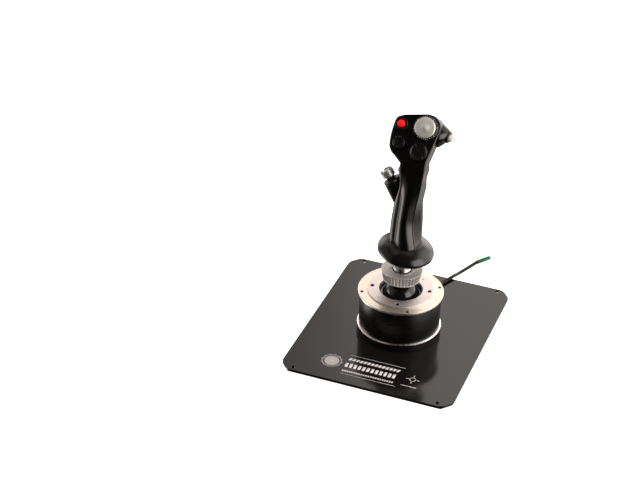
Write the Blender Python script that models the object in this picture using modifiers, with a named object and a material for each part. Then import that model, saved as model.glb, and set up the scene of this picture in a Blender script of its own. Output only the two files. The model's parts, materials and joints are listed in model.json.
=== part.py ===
"""A desk flight joystick: a steel plate, a turned metal base with a ball gimbal, and a grip with four hats.

Frame: +Z up, +Y away from the pilot, +X to the pilot's right. The origin is on the desk, under the axis of
the base. Blender works in metres, so lengths are written in millimetres times MM.
"""

import math

import bmesh
import bpy
from mathutils import Matrix, Vector

MM = 0.001
GAP = 0.3 * MM

# Plate and feet
PLATE_WIDTH = 225 * MM
PLATE_DEPTH = 273 * MM
PLATE_THICKNESS = 3 * MM
PLATE_CUT_X = 12 * MM
PLATE_CUT_Y = 14 * MM
PLATE_CORNER_RADIUS = 14 * MM
PLATE_HOLE_RADIUS = 2.75 * MM
PLATE_HOLE_INSET_X = 18.25 * MM
PLATE_HOLE_INSET_Y = 6.2 * MM
RUBBER_FOOT_RADIUS = 7 * MM
RUBBER_FOOT_HEIGHT = 1.5 * MM
RUBBER_FOOT_INSET = 34 * MM
PLATE_BOTTOM = RUBBER_FOOT_HEIGHT
PLATE_TOP = PLATE_BOTTOM + PLATE_THICKNESS

# Base housing, as heights above the desk and radii
FOOT_RING_RADIUS = 53.9 * MM
FOOT_RING_TOP = 16.4 * MM
BARREL_RADIUS = 52 * MM
FLANGE_RADIUS = 54.5 * MM
FLANGE_TOP = 64.6 * MM
FLANGE_THICKNESS = 3 * MM
FLANGE_BORE = 33 * MM
CLAMP_RADIUS = 42.6 * MM
CLAMP_TOP = 66.5 * MM
CLAMP_BORE = 27.9 * MM
FLANGE_SCREW_CIRCLE = 50 * MM
FLANGE_SCREW_TURN = math.radians(-62)
CLAMP_SCREW_CIRCLE = 36.5 * MM
CLAMP_SCREW_TURN = math.radians(-78)

# Gimbal
PIVOT = Vector((0, 0, 56 * MM))
BALL_RADIUS = 22 * MM
BALL_WALL = 2.2 * MM
NECK_RADIUS = 11.8 * MM
JOURNAL_RADIUS = 2.3 * MM
JOURNAL_BORE = 2.6 * MM
EAR_INNER = 7 * MM
EAR_OUTER = 10.5 * MM
EAR_HALF_WIDTH = 4.2 * MM
JOURNAL_REACH = 10.2 * MM

# Locking ring and hand rest
RING_TOP = 96.6 * MM
RING_BOTTOM = 83 * MM
RING_TOP_RADIUS = 26.25 * MM
RING_BOTTOM_RADIUS = 23.9 * MM
RING_FLUTES = 40
HUB_RADIUS = 9.5 * MM
HUB_TOP = 150 * MM
REST_CENTRE = Vector((2.5 * MM, 4 * MM, 125.5 * MM))
REST_TILT_SIDE = math.radians(8)
REST_TILT_BACK = math.radians(2)

# Grip: the column leans forward, and the head's flat face looks up at the pilot
COLUMN_LEAN = math.radians(8)
COLUMN_START_Z = 100 * MM
COLUMN_REAR = 22 * MM
FACE_CENTRE = Vector((-2 * MM, 13 * MM, 270.3 * MM))
FACE_LEAN = math.radians(33)
FACE_TWIST = math.radians(8)
GRIP_WALL = 2.8 * MM
SEAM_DEPTH = 29 * MM

# Each row: height of the rear line, lean and twist in degrees, then rear left, rear right, rear bulge,
# rear left corner radius, middle left, middle right and depth, in millimetres
COLUMN_ROWS = (
    (128, 8, 0, -18.3, 19.0, 8.0, 9.0, -20.8, 21.0, 47.0),
    (137, 8, 0, -18.1, 17.8, 8.0, 9.0, -20.6, 20.4, 47.0),
    (150, 8, 0, -18.1, 14.6, 8.0, 9.0, -20.3, 20.4, 47.0),
    (168, 8, 0, -17.9, 11.9, 8.0, 9.0, -19.8, 19.8, 46.5),
    (182, 8, 0, -16.8, 12.6, 7.8, 9.0, -19.0, 18.6, 46.0),
    (195, 9.5, 0, -15.2, 14.0, 7.2, 8.5, -17.8, 17.7, 45.5),
    (206, 12, 0.5, -12.6, 15.9, 6.0, 7.0, -16.4, 19.0, 45.0),
    (217, 15.5, 1.5, -9.8, 17.7, 4.2, 5.0, -15.2, 20.5, 44.5),
    (229, 20, 3.5, -9.6, 19.3, 2.6, 4.0, -15.2, 20.6, 44.0),
    (240, 25, 5.5, -10.2, 20.5, 1.2, 3.5, -16.5, 23.5, 43.0),
)
# Each row: height up the face from its centre, left edge, right edge and depth, in millimetres
HEAD_ROWS = (
    (-24.0, -13.6, 18.4, 42.5),
    (-16.5, -19.2, 21.8, 42.0),
    (-9.0, -25.1, 25.1, 41.5),
    (-3.0, -26.9, 27.8, 41.0),
    (6.0, -26.1, 31.8, 40.0),
    (14.0, -24.4, 35.2, 38.5),
    (22.0, -22.0, 35.6, 36.0),
    (28.0, -19.8, 32.6, 33.0),
    (32.5, -16.6, 27.6, 28.0),
    (34.8, -8.5, 21.0, 22.0),
)

# Controls: places on the face are (right, up) from its centre
THUMB_BUTTON_PLACE = (-11.9 * MM, 23.6 * MM)
TRIM_HAT_PLACE = (17.9 * MM, 17.7 * MM)
LEFT_HAT_PLACE = (-14.4 * MM, 0.7 * MM)
RIGHT_HAT_PLACE = (9.3 * MM, -11.1 * MM)
HAT_PIVOT_DEPTH = 4.6 * MM
SIDE_BUTTON_PLACE = Vector((36.5 * MM, 39.6 * MM, 273.3 * MM))
SIDE_BUTTON_AXIS = Vector((1, -0.2, -0.15)).normalized()
# Each row of the boss under the side button: depth behind the button, radius, reach downward and reach toward
# the face, in millimetres
SIDE_BOSS_ROWS = (
    (19, 15.5, 21.5, 20.0),
    (12, 12.6, 18.5, 18.5),
    (5, 9.9, 14.0, 15.5),
    (2, 8.6, 10.5, 11.5),
    (0, 7.6, 7.6, 7.6),
)
CMS_PLACE = Vector((-22.8 * MM, 8 * MM, 218 * MM))
CMS_AXIS = Vector((-0.57, 0, 0.82)).normalized()
CMS_BOSS_FOOT = Vector((-13 * MM, 9 * MM, 188 * MM))
TRIGGER_PIVOT = Vector((-2.5 * MM, 43.2 * MM, 253.9 * MM))
TRIGGER_WIDTH = 11 * MM
PINKY_PIVOT = Vector((0, 25.2 * MM, 144 * MM))
PINKY_WIDTH = 14 * MM
PINKY_BUTTON_HEIGHT = 196 * MM

# Cable
CORD_RADIUS = 2.25 * MM
CORD_EXIT_ANGLE = math.radians(80)
CORD_EXIT_HEIGHT = 10.6 * MM
RELIEF_END = 72 * MM
COIL_CENTRE = Vector((-22 * MM, 87 * MM, 0))
COIL_MIDDLE_RADIUS = 27 * MM
COIL_HALF_WIDTH = 6.75 * MM
COIL_BOTTOM = 6.1 * MM
COIL_TOP = 19.6 * MM
TIE_THICKNESS = 1 * MM
LEAD_ROUTE = (
    (12.56, 71.2, 10.2),
    (14.1, 79.5, 7.4),
    (14.7, 87.5, 6.9),
    (13.3, 96.5, 6.9),
    (8.8, 106.3, 6.9),
)
RUN_ROUTE = (
    (13.9, 93.6, 15.2),
    (17.2, 103.0, 12.2),
    (20.3, 112.5, 8.4),
    (22.6, 120.5, 7.0),
    (25.8, 128.4, 7.1),
    (28.8, 135.6, 7.15),
    (30.7, 141.2, 6.9),
    (32.3, 150.5, 3.9),
    (34.8, 159.3, 2.6),
    (38.6, 168.8, 2.5),
    (43.1, 179.5, 2.6),
    (47.9, 190.8, 2.9),
)
PLUG_DIRECTION = Vector((13.9, 19.8, 0)).normalized()
PLUG_CAP_RADIUS = 2.7 * MM
PLUG_CAP_LENGTH = 24.2 * MM


# ---------------------------------------------------------------- scene and materials

for old in list(bpy.data.objects):
    bpy.data.objects.remove(old, do_unlink=True)

PARTS = bpy.data.collections.new("flight_joystick")
CUTTERS = bpy.data.collections.new("cutters")
bpy.context.scene.collection.children.link(PARTS)
bpy.context.scene.collection.children.link(CUTTERS)

FINISHES = {
    "plate_black": ((0.035, 0.032, 0.032), 0.42, 0.6),
    "barrel_black": ((0.008, 0.008, 0.009), 0.25, 0.4),
    "turned_aluminium": ((0.80, 0.77, 0.70), 0.28, 1.0),
    "satin_aluminium": ((0.66, 0.60, 0.56), 0.38, 1.0),
    "steel": ((0.45, 0.44, 0.42), 0.35, 1.0),
    "gloss_black": ((0.006, 0.006, 0.007), 0.08, 0.0),
    "grip_black": ((0.010, 0.010, 0.011), 0.30, 0.1),
    "rubber": ((0.015, 0.015, 0.015), 0.85, 0.0),
    "hat_silver": ((0.50, 0.50, 0.46), 0.55, 0.7),
    "button_red": ((0.75, 0.004, 0.004), 0.35, 0.0),
    "board_green": ((0.01, 0.10, 0.04), 0.5, 0.0),
    "magnet": ((0.55, 0.55, 0.56), 0.3, 1.0),
    "cord_black": ((0.012, 0.012, 0.012), 0.55, 0.0),
    "cap_green": ((0.008, 0.16, 0.10), 0.3, 0.0),
}


def finish_material(name):
    """The named finish as a Principled material, made once for each piece that asks."""
    colour, roughness, metallic = FINISHES[name]
    material = bpy.data.materials.new(name)
    material.use_nodes = True
    shader = material.node_tree.nodes["Principled BSDF"]
    shader.inputs["Base Color"].default_value = (*colour, 1)
    shader.inputs["Roughness"].default_value = roughness
    shader.inputs["Metallic"].default_value = metallic
    material.diffuse_color = (*colour, 1)
    return material


# ---------------------------------------------------------------- placing

WORLD = {}


def empty(name, matrix, parent=None):
    """An empty that stands on a joint's axis, at the given world matrix."""
    holder = bpy.data.objects.new(name, None)
    PARTS.objects.link(holder)
    WORLD[name] = matrix
    place(holder, matrix, parent)
    return holder


def place(obj, matrix, parent):
    """Puts an object at a world matrix under its parent."""
    obj.parent = parent
    if parent is None:
        obj.matrix_basis = matrix
    else:
        obj.matrix_basis = WORLD[parent.name].inverted() @ matrix


def pointing(location, direction, right=Vector((0, 1, 0))):
    """A matrix at the location whose Z looks along the direction."""
    z_axis = direction.normalized()
    x_axis = right.cross(z_axis).normalized()
    y_axis = z_axis.cross(x_axis)
    matrix = Matrix((x_axis, y_axis, z_axis)).transposed().to_4x4()
    matrix.translation = location
    return matrix


def add_part(name, mesh, finish, parent=None, matrix=None):
    """Makes a mesh into a named part."""
    mesh.materials.clear()
    mesh.materials.append(finish_material(finish))
    part = bpy.data.objects.new(name, mesh)
    PARTS.objects.link(part)
    place(part, matrix or Matrix(), parent)
    return part


def add_cutter(name, mesh, matrix=None):
    """Makes a mesh into a hidden cutter."""
    cutter = bpy.data.objects.new(name, mesh)
    CUTTERS.objects.link(cutter)
    cutter.matrix_basis = matrix or Matrix()
    cutter.hide_render = True
    cutter.display_type = "WIRE"
    return cutter


def combine(part, other, operation):
    """Adds a Boolean modifier to the part."""
    modifier = part.modifiers.new(operation.lower() + "_" + other.name, "BOOLEAN")
    modifier.operation = operation
    modifier.solver = "EXACT"
    modifier.object = other


# ---------------------------------------------------------------- shapes

def chain_mesh(name, points, closed):
    """A chain of edges in the XZ plane."""
    mesh = bpy.data.meshes.new(name)
    edges = [(i, i + 1) for i in range(len(points) - 1)]
    if closed:
        edges.append((len(points) - 1, 0))
    mesh.from_pydata([(r * MM, 0, z * MM) for r, z in points], edges, [])
    return mesh


def turn_profile(obj, steps):
    """Adds the Screw modifier that turns a profile about the object's Z axis."""
    screw = obj.modifiers.new("turn", "SCREW")
    screw.axis = "Z"
    screw.angle = math.tau
    screw.steps = steps
    screw.render_steps = steps
    screw.use_merge_vertices = True
    screw.merge_threshold = 0.00001
    screw.use_smooth_shade = True


def turned(name, points, finish, parent=None, matrix=None, steps=40):
    """A turned part. The points are (radius, height) in millimetres, down the outer side from the top."""
    closed = points[0][0] > 0 or points[-1][0] > 0
    part = add_part(name, chain_mesh(name, points, closed), finish, parent, matrix)
    turn_profile(part, steps)
    return part


def turned_cutter(name, points, matrix=None, steps=32):
    """A turned cutter, with its points given as for a turned part."""
    closed = points[0][0] > 0 or points[-1][0] > 0
    cutter = add_cutter(name, chain_mesh(name, points, closed), matrix)
    turn_profile(cutter, steps)
    return cutter


def cylinder_cutter(name, radius, low, high, matrix=None, steps=24):
    """A round cutter along its own Z axis, in metres."""
    points = ((0, high / MM), (radius / MM, high / MM), (radius / MM, low / MM), (0, low / MM))
    return turned_cutter(name, points, matrix, steps)


def box_mesh(name, size, centre=(0, 0, 0)):
    """A box of the given size in metres."""
    shape = bmesh.new()
    bmesh.ops.create_cube(shape, size=1)
    bmesh.ops.scale(shape, vec=size, verts=shape.verts)
    bmesh.ops.translate(shape, vec=centre, verts=shape.verts)
    mesh = bpy.data.meshes.new(name)
    shape.to_mesh(mesh)
    shape.free()
    return mesh


def bevel(part, width, segments=2, angle=math.radians(40)):
    """Rounds a part's edges."""
    modifier = part.modifiers.new("round", "BEVEL")
    modifier.width = width
    modifier.segments = segments
    modifier.limit_method = "ANGLE"
    modifier.angle_limit = angle


def mesh_from_curve(curve, name):
    """The curve's surface as a closed mesh, with its caps welded on."""
    holder = bpy.data.objects.new(name, curve)
    CUTTERS.objects.link(holder)
    bpy.context.view_layer.update()
    graph = bpy.context.evaluated_depsgraph_get()
    mesh = bpy.data.meshes.new_from_object(holder.evaluated_get(graph))
    bpy.data.objects.remove(holder, do_unlink=True)
    shape = bmesh.new()
    shape.from_mesh(mesh)
    bmesh.ops.remove_doubles(shape, verts=shape.verts, dist=0.000002)
    bmesh.ops.recalc_face_normals(shape, faces=shape.faces)
    shape.to_mesh(mesh)
    shape.free()
    return mesh


def outline_mesh(name, points, thickness):
    """A flat outline in the XY plane, in metres, as a plate centred on that plane."""
    curve = bpy.data.curves.new(name, "CURVE")
    curve.dimensions = "2D"
    curve.fill_mode = "BOTH"
    curve.extrude = thickness / 2
    spline = curve.splines.new("POLY")
    spline.points.add(len(points) - 1)
    for point, place_2d in zip(spline.points, points):
        point.co = (place_2d[0], place_2d[1], 0, 1)
    spline.use_cyclic_u = True
    return mesh_from_curve(curve, name)


def tube(name, points, radius, finish, parent=None, resolution=2, cyclic=False):
    """A round wire through world points in metres, with filled ends."""
    curve = bpy.data.curves.new(name, "CURVE")
    curve.dimensions = "3D"
    curve.bevel_depth = radius
    curve.bevel_resolution = resolution
    curve.use_fill_caps = not cyclic
    spline = curve.splines.new("POLY")
    spline.points.add(len(points) - 1)
    for point, place_3d in zip(spline.points, points):
        point.co = (*place_3d, 1)
    spline.use_cyclic_u = cyclic
    return add_part(name, mesh_from_curve(curve, name), finish, parent)


def smooth_route(route, spacing):
    """Evenly spaced points along a Catmull-Rom curve through the route's points, in metres."""
    knots = [Vector(point) * MM for point in route]
    first = knots[0] * 2 - knots[1]
    last = knots[-1] * 2 - knots[-2]
    ring = [first] + knots + [last]
    dense = []
    for i in range(1, len(ring) - 2):
        p0, p1, p2, p3 = ring[i - 1:i + 3]
        for k in range(20):
            t = k / 20
            dense.append(0.5 * ((2 * p1) + (p2 - p0) * t + (2 * p0 - 5 * p1 + 4 * p2 - p3) * t ** 2
                                + (3 * p1 - p0 - 3 * p2 + p3) * t ** 3))
    dense.append(knots[-1])
    lengths = [0]
    for a, b in zip(dense, dense[1:]):
        lengths.append(lengths[-1] + (b - a).length)
    count = max(2, round(lengths[-1] / spacing))
    points = []
    for k in range(count + 1):
        target = lengths[-1] * k / count
        i = max(1, next((j for j, s in enumerate(lengths) if s >= target - 1e-12), len(lengths) - 1))
        span = lengths[i] - lengths[i - 1]
        points.append(dense[i - 1].lerp(dense[i], (target - lengths[i - 1]) / span))
    return points


def rounded_outline(corners, radii, steps):
    """The corners as 2D vectors, each replaced by an arc of its radius."""
    points = []
    for i, corner in enumerate(corners):
        back = corners[i - 1] - corner
        ahead = corners[(i + 1) % len(corners)] - corner
        room = 0.46 * min(back.length, ahead.length)
        back.normalize()
        ahead.normalize()
        half = 0.5 * math.acos(max(-1, min(1, back.dot(ahead))))
        setback = min(radii[i] / math.tan(half), room)
        centre = corner + (back + ahead).normalized() * (setback / math.cos(half))
        start = corner + back * setback - centre
        end = corner + ahead * setback - centre
        turn = math.atan2(start.x * end.y - start.y * end.x, start.dot(end))
        for k in range(steps + 1):
            points.append(centre + Matrix.Rotation(turn * k / steps, 2) @ start)
    return points


# ---------------------------------------------------------------- the grip's surface

def grip_axes(lean, twist):
    """Right, forward and up axes of a section that leans forward and twists towards the right hand."""
    return (Matrix.Rotation(twist, 3, "Z") @ Matrix.Rotation(-lean, 3, "X") @ Matrix.Rotation(-twist, 3, "Y"))


FACE_AXES = grip_axes(FACE_LEAN, FACE_TWIST)


def column_rear(height):
    """The column's rear line at a height."""
    return Vector((0, (height - COLUMN_START_Z) * math.tan(COLUMN_LEAN) - COLUMN_REAR, height))


def grip_stations():
    """Each section's origin, axes, corners, corner radii and rear bulge, from the bottom up."""
    stations = []
    for row in COLUMN_ROWS:
        height, lean, twist, left, right, bulge, soft, mid_left, mid_right, depth = row
        corners = ((left, bulge), (right, bulge), (mid_right, 0.56 * depth), (mid_right - 8, depth),
                   (mid_left + 8, depth), (mid_left, 0.56 * depth))
        radii = (soft, 1.6, 14, 11, 11, 14)
        stations.append((column_rear(height * MM), grip_axes(math.radians(lean), math.radians(twist)),
                         corners, radii, bulge))
    for rise, left, right, depth in HEAD_ROWS:
        corners = ((left, 0), (right, 0), (right + 2.5, 0.46 * depth), (right - 7, depth),
                   (left + 9, depth), (left - 1, 0.46 * depth))
        radii = (2.6, 1.8, 12, 11, 11, 12)
        origin = FACE_CENTRE + FACE_AXES.col[2] * rise * MM
        stations.append((origin, FACE_AXES, corners, radii, 0))
    return stations


def inset_corners(corners, distance):
    """The corners of the outline moved inwards by a distance, or outwards by a negative one."""
    moved = []
    count = len(corners)
    for i in range(count):
        here = Vector(corners[i])
        back = (here - Vector(corners[i - 1])).normalized()
        ahead = (Vector(corners[(i + 1) % count]) - here).normalized()
        inward_back = Vector((-back.y, back.x))
        inward_ahead = Vector((-ahead.y, ahead.x))
        middle = (inward_back + inward_ahead).normalized()
        moved.append(here + middle * distance / middle.dot(inward_back))
    return moved


def section_points(station, inset, steps):
    """World points round one section of the grip."""
    origin, axes, corners, radii, bulge = station
    moved = inset_corners(corners, inset)
    arcs = rounded_outline(moved, [max(0.6, radius - inset) for radius in radii], steps)
    left_end = arcs[steps]
    right_start = arcs[steps + 1]
    rear = []
    for s in (0.2, 0.4, 0.6, 0.8):
        point = left_end.lerp(right_start, s)
        point.y -= bulge * 4 * s * (1 - s)
        rear.append(point)
    outline = arcs[:steps + 1] + rear + arcs[steps + 1:]
    return [origin + axes @ Vector((point.x, point.y, 0)) * MM for point in outline]


def loft_mesh(name, rings):
    """A closed skin over rings of equally many points, with flat ends."""
    count = len(rings[0])
    verts = [point for ring in rings for point in ring]
    faces = []
    for i in range(len(rings) - 1):
        for j in range(count):
            k = (j + 1) % count
            faces.append((i * count + j, i * count + k, (i + 1) * count + k, (i + 1) * count + j))
    faces.append(tuple(reversed(range(count))))
    faces.append(tuple(range((len(rings) - 1) * count, len(rings) * count)))
    mesh = bpy.data.meshes.new(name)
    mesh.from_pydata(verts, [], faces)
    shape = bmesh.new()
    shape.from_mesh(mesh)
    bmesh.ops.triangulate(shape, faces=shape.faces, quad_method="SHORT_EDGE")
    shape.to_mesh(mesh)
    shape.free()
    return mesh


def moved_station(station, rise):
    """The same section, moved along its own up axis."""
    origin, axes, corners, radii, bulge = station
    return origin + axes.col[2] * rise, axes, corners, radii, bulge


def grip_skin(name, inset, extend, steps=2):
    """The grip's outer skin, or with an inset the hollow inside it, run on past the bottom by extend."""
    stations = grip_stations()
    if inset > 0:
        stations = stations[:-1]
        stations[0] = moved_station(stations[0], -extend)
    return loft_mesh(name, [section_points(station, inset, steps) for station in stations])


def seam_block(name, near, far):
    """A block that follows the grip's bend, between two depths from its rear."""
    half = 52
    rings = []
    stations = grip_stations()
    ends = moved_station(stations[0], -14 * MM), moved_station(stations[-1], 16 * MM)
    between = [moved_station(station, 2.3 * MM) for station in stations[1:-1:2]]
    for origin, axes, _, _, _ in (ends[0], *between, ends[1]):
        corners = ((-half, near), (half, near), (half, far), (-half, far))
        rings.append([origin + axes @ Vector((x, y, 0)) * MM for x, y in corners])
    return loft_mesh(name, rings)


# ---------------------------------------------------------------- base

def plate_outline():
    """The plate's outline: a rectangle with its corners cut off and softened."""
    x = PLATE_WIDTH / 2
    y = PLATE_DEPTH / 2
    quarter = ((x, y - PLATE_CUT_Y), (x - PLATE_CUT_X, y))
    corners = [Vector(p) for p in quarter]
    corners += [Vector((-p.x, p.y)) for p in reversed(corners)]
    corners += [Vector((p.x, -p.y)) for p in reversed(corners)]
    return rounded_outline(corners, [PLATE_CORNER_RADIUS] * len(corners), 3)


def make_plate():
    """The steel plate with its four mounting holes, and the four rubber feet."""
    mesh = outline_mesh("base_plate", plate_outline(), PLATE_THICKNESS)
    middle = Matrix.Translation((0, 0, PLATE_BOTTOM + PLATE_THICKNESS / 2))
    plate = add_part("base_plate", mesh, "plate_black", None, middle)
    hole_x = PLATE_WIDTH / 2 - PLATE_HOLE_INSET_X
    hole_y = PLATE_DEPTH / 2 - PLATE_HOLE_INSET_Y
    foot_x = PLATE_WIDTH / 2 - RUBBER_FOOT_INSET
    foot_y = PLATE_DEPTH / 2 - RUBBER_FOOT_INSET
    number = 0
    for side_x in (-1, 1):
        for side_y in (-1, 1):
            number += 1
            spot = Matrix.Translation((side_x * hole_x, side_y * hole_y, 0))
            hole = cylinder_cutter(f"plate_hole_{number}", PLATE_HOLE_RADIUS, 0, 10 * MM, spot, 16)
            combine(plate, hole, "DIFFERENCE")
            radius = RUBBER_FOOT_RADIUS / MM
            height = (RUBBER_FOOT_HEIGHT - 0.05 * MM) / MM
            profile = ((0, height), (radius, height), (radius - 0.6, 0), (0, 0))
            spot = Matrix.Translation((side_x * foot_x, side_y * foot_y, 0))
            turned(f"rubber_foot_{number}", profile, "rubber", None, spot, 20)


def exit_direction():
    """The way the cable leaves the base, level and away from its axis."""
    return Vector((math.cos(CORD_EXIT_ANGLE), math.sin(CORD_EXIT_ANGLE), 0))


def screw_spots(circle, turn):
    """Four places a quarter turn apart."""
    return [Vector((circle * math.cos(turn + k * math.pi / 2), circle * math.sin(turn + k * math.pi / 2), 0))
            for k in range(4)]


def make_housing():
    """The foot ring, barrel, top flange, clamp ring and socket cup."""
    low = PLATE_TOP / MM + 0.3
    ring = turned("foot_ring", ((52.2, 16.4), (53.9, 15.0), (53.9, low), (48.5, low), (48.5, 16.4)),
                  "barrel_black", steps=56)
    bore = pointing(Vector((0, 0, CORD_EXIT_HEIGHT)), exit_direction(), Vector((0, 0, 1)))
    hole = cylinder_cutter("relief_hole", 3.9 * MM, 44 * MM, 60 * MM, bore, 16)
    combine(ring, hole, "DIFFERENCE")
    barrel_top = (FLANGE_TOP - FLANGE_THICKNESS) / MM - 0.3
    barrel = turned("barrel", ((52.0, barrel_top), (52.0, 16.7), (47.5, 16.7), (47.5, barrel_top)),
                    "barrel_black", steps=56)
    flange = turned("top_flange",
                    ((54.0, 64.6), (54.5, 64.1), (54.5, 62.1), (54.0, 61.6), (47.0, 61.6), (45.5, 58.6),
                     (29.5, 58.6), (29.5, 61.2), (33.0, 61.2), (33.0, 64.6)), "turned_aluminium", steps=56)
    for k, spot in enumerate(screw_spots(FLANGE_SCREW_CIRCLE, FLANGE_SCREW_TURN)):
        matrix = Matrix.Translation(spot)
        hole = turned_cutter(f"flange_screw_hole_{k + 1}", ((0, 70), (2.2, 70), (2.2, 63.1), (1.5, 63.1),
                                                           (1.5, 55), (0, 55)), matrix, 12)
        combine(flange, hole, "DIFFERENCE")
        combine(barrel, hole, "DIFFERENCE")
        screw = turned(f"flange_screw_{k + 1}", ((0.9, 64.45), (1.7, 64.45), (1.9, 64.25), (1.9, 63.4),
                                                 (1.2, 63.4), (1.2, 57.0), (0, 57.0)), "steel", None, matrix, 12)
        close_socket(screw, 0.9, 64.45, 63.7)
    clamp = turned("clamp_ring", ((42.2, 66.5), (42.6, 66.1), (42.6, 64.9), (27.9, 64.9), (27.9, 66.5)),
                   "satin_aluminium", steps=56)
    for k, spot in enumerate(screw_spots(CLAMP_SCREW_CIRCLE, CLAMP_SCREW_TURN)):
        matrix = Matrix.Translation(spot)
        hole = turned_cutter(f"clamp_screw_hole_{k + 1}", ((0, 70), (2.9, 70), (2.9, 66.5), (1.7, 65.2),
                                                          (1.7, 50), (0, 50)), matrix, 12)
        combine(clamp, hole, "DIFFERENCE")
        combine(flange, hole, "DIFFERENCE")
        screw = turned(f"clamp_screw_{k + 1}", ((1.1, 66.3), (2.4, 66.3), (2.4, 66.1), (1.4, 65.1),
                                                (1.4, 60.0), (0, 60.0)), "steel", None, matrix, 12)
        close_socket(screw, 1.1, 66.3, 65.5)
        pin_hole = Matrix.Rotation(math.pi / 4, 4, "Z") @ matrix
        hole = cylinder_cutter(f"clamp_pin_hole_{k + 1}", 0.9 * MM, 60 * MM, 70 * MM, pin_hole, 8)
        combine(clamp, hole, "DIFFERENCE")
    turned("socket_cup", ((26.6, 66.2), (27.6, 66.2), (27.6, 64.5), (32.7, 64.5), (32.7, 61.5), (29.2, 61.5),
                          (29.2, 57.2), (22.6, 57.2), (22.4, 58.4), (22.3, 60.4), (23.6, 61.6), (24.6, 61.9),
                          (25.2, 63.6)), "gloss_black", steps=40)


def close_socket(screw, radius, top, bottom):
    """Finishes a screw's profile with the flat floor and wall of its hexagon socket."""
    mesh = screw.data
    profile = bmesh.new()
    profile.from_mesh(mesh)
    profile.verts.ensure_lookup_table()
    for edge in [e for e in profile.edges if {v.index for v in e.verts} == {0, len(profile.verts) - 1}]:
        profile.edges.remove(edge)
    rim = profile.verts[0]
    rim.co.z = top * MM
    wall = profile.verts.new((radius * MM, 0, bottom * MM))
    floor = profile.verts.new((0, 0, bottom * MM))
    profile.edges.new((floor, wall))
    profile.edges.new((wall, rim))
    profile.to_mesh(mesh)
    profile.free()


def yoke_ears(name, along, low, high, pivot_end):
    """Two ears with round ends, as one block to join: their holes take the cross's journals."""
    half = EAR_HALF_WIDTH
    rim = []
    for k in range(7):
        angle = math.pi * k / 6
        rim.append((half * math.cos(angle), half * math.sin(angle)))
    if pivot_end == "top":
        points = [(x, y) for x, y in rim] + [(-half, low), (half, low)]
    else:
        points = [(x, -y) for x, y in reversed(rim)] + [(half, high), (-half, high)]
    mesh = outline_mesh(name, points, 2 * EAR_OUTER)
    if along == "X":
        turn = Matrix(((0, 0, 1, 0), (1, 0, 0, 0), (0, 1, 0, 0), (0, 0, 0, 1)))
    else:
        turn = Matrix(((1, 0, 0, 0), (0, 0, -1, 0), (0, 1, 0, 0), (0, 0, 0, 1)))
    return mesh, Matrix.Translation(PIVOT) @ turn


def make_gimbal(pitch_holder, roll_holder):
    """The post, the cross with its magnets, the stick's shaft and the ball that hides them."""
    pivot = PIVOT.z / MM
    post = turned("gimbal_post", ((0, 44.0), (9.5, 44.0), (9.5, 38.0), (7.5, 36.0), (7.5, 9.5), (20.0, 8.5),
                                  (20.0, 4.8), (0, 4.8)), "satin_aluminium", steps=32)
    ears, spot = yoke_ears("post_ears", "X", -17 * MM, 0, "top")
    combine(post, add_cutter("post_ears", ears, spot), "UNION")
    slot = box_mesh("post_slot", (2 * EAR_INNER, 30 * MM, 30 * MM))
    combine(post, add_cutter("post_slot", slot, Matrix.Translation(PIVOT + Vector((0, 0, 3 * MM)))),
            "DIFFERENCE")
    along_x = pointing(PIVOT, Vector((1, 0, 0)))
    along_y = pointing(PIVOT, Vector((0, 1, 0)), Vector((0, 0, 1)))
    bore_x = cylinder_cutter("post_bore", JOURNAL_BORE, -20 * MM, 20 * MM, along_x, 16)
    combine(post, bore_x, "DIFFERENCE")

    radius = JOURNAL_RADIUS / MM
    reach = JOURNAL_REACH / MM
    journal = ((0, reach), (radius, reach), (radius, -reach), (0, -reach))
    cross = turned("gimbal_cross", journal, "steel", pitch_holder, along_x, 16)
    other = turned_cutter("cross_journal", journal, along_y, 16)
    combine(cross, other, "UNION")
    block = add_cutter("cross_block", box_mesh("cross_block", (9 * MM, 9 * MM, 8 * MM)),
                       Matrix.Translation(PIVOT))
    combine(cross, block, "UNION")
    disc = ((0, reach + 1.2), (2.0, reach + 1.2), (2.0, reach + 0.3), (0, reach + 0.3))
    turned("pitch_magnet", disc, "magnet", pitch_holder, along_x, 12)
    turned("roll_magnet", disc, "magnet", pitch_holder, along_y, 12)

    shaft = turned("stick_shaft", ((0, 90.0), (20.8, 90.0), (20.8, 84.6), (NECK_RADIUS / MM, 82.0),
                                   (NECK_RADIUS / MM, pivot + 15.4), (11.0, pivot + 12.0),
                                   (0, pivot + 12.0)), "barrel_black", roll_holder,
                   Matrix(), 32)
    ears, spot = yoke_ears("shaft_ears", "Y", 0, 14 * MM, "bottom")
    combine(shaft, add_cutter("shaft_ears", ears, spot), "UNION")
    slot = box_mesh("shaft_slot", (30 * MM, 2 * EAR_INNER, 24 * MM))
    combine(shaft, add_cutter("shaft_slot", slot, Matrix.Translation(PIVOT)), "DIFFERENCE")
    bore_y = cylinder_cutter("shaft_bore", JOURNAL_BORE, -20 * MM, 20 * MM, along_y, 16)
    combine(shaft, bore_y, "DIFFERENCE")

    make_ball(roll_holder)
    make_sensor_board("pitch_sensor_board", pointing(PIVOT, Vector((1, 0, 0))), None)
    make_sensor_board("roll_sensor_board", along_y, roll_holder)
    coil_points = []
    turns = 5
    per_turn = 14
    for k in range(turns * per_turn + 1):
        angle = math.tau * k / per_turn
        height = 10.2 + (46.4 - 10.2) * k / (turns * per_turn)
        coil_points.append((16.8 * MM * math.cos(angle), 16.8 * MM * math.sin(angle), height * MM))
    tube("return_spring", coil_points, 1.0 * MM, "steel", roll_holder, 1)


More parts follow.
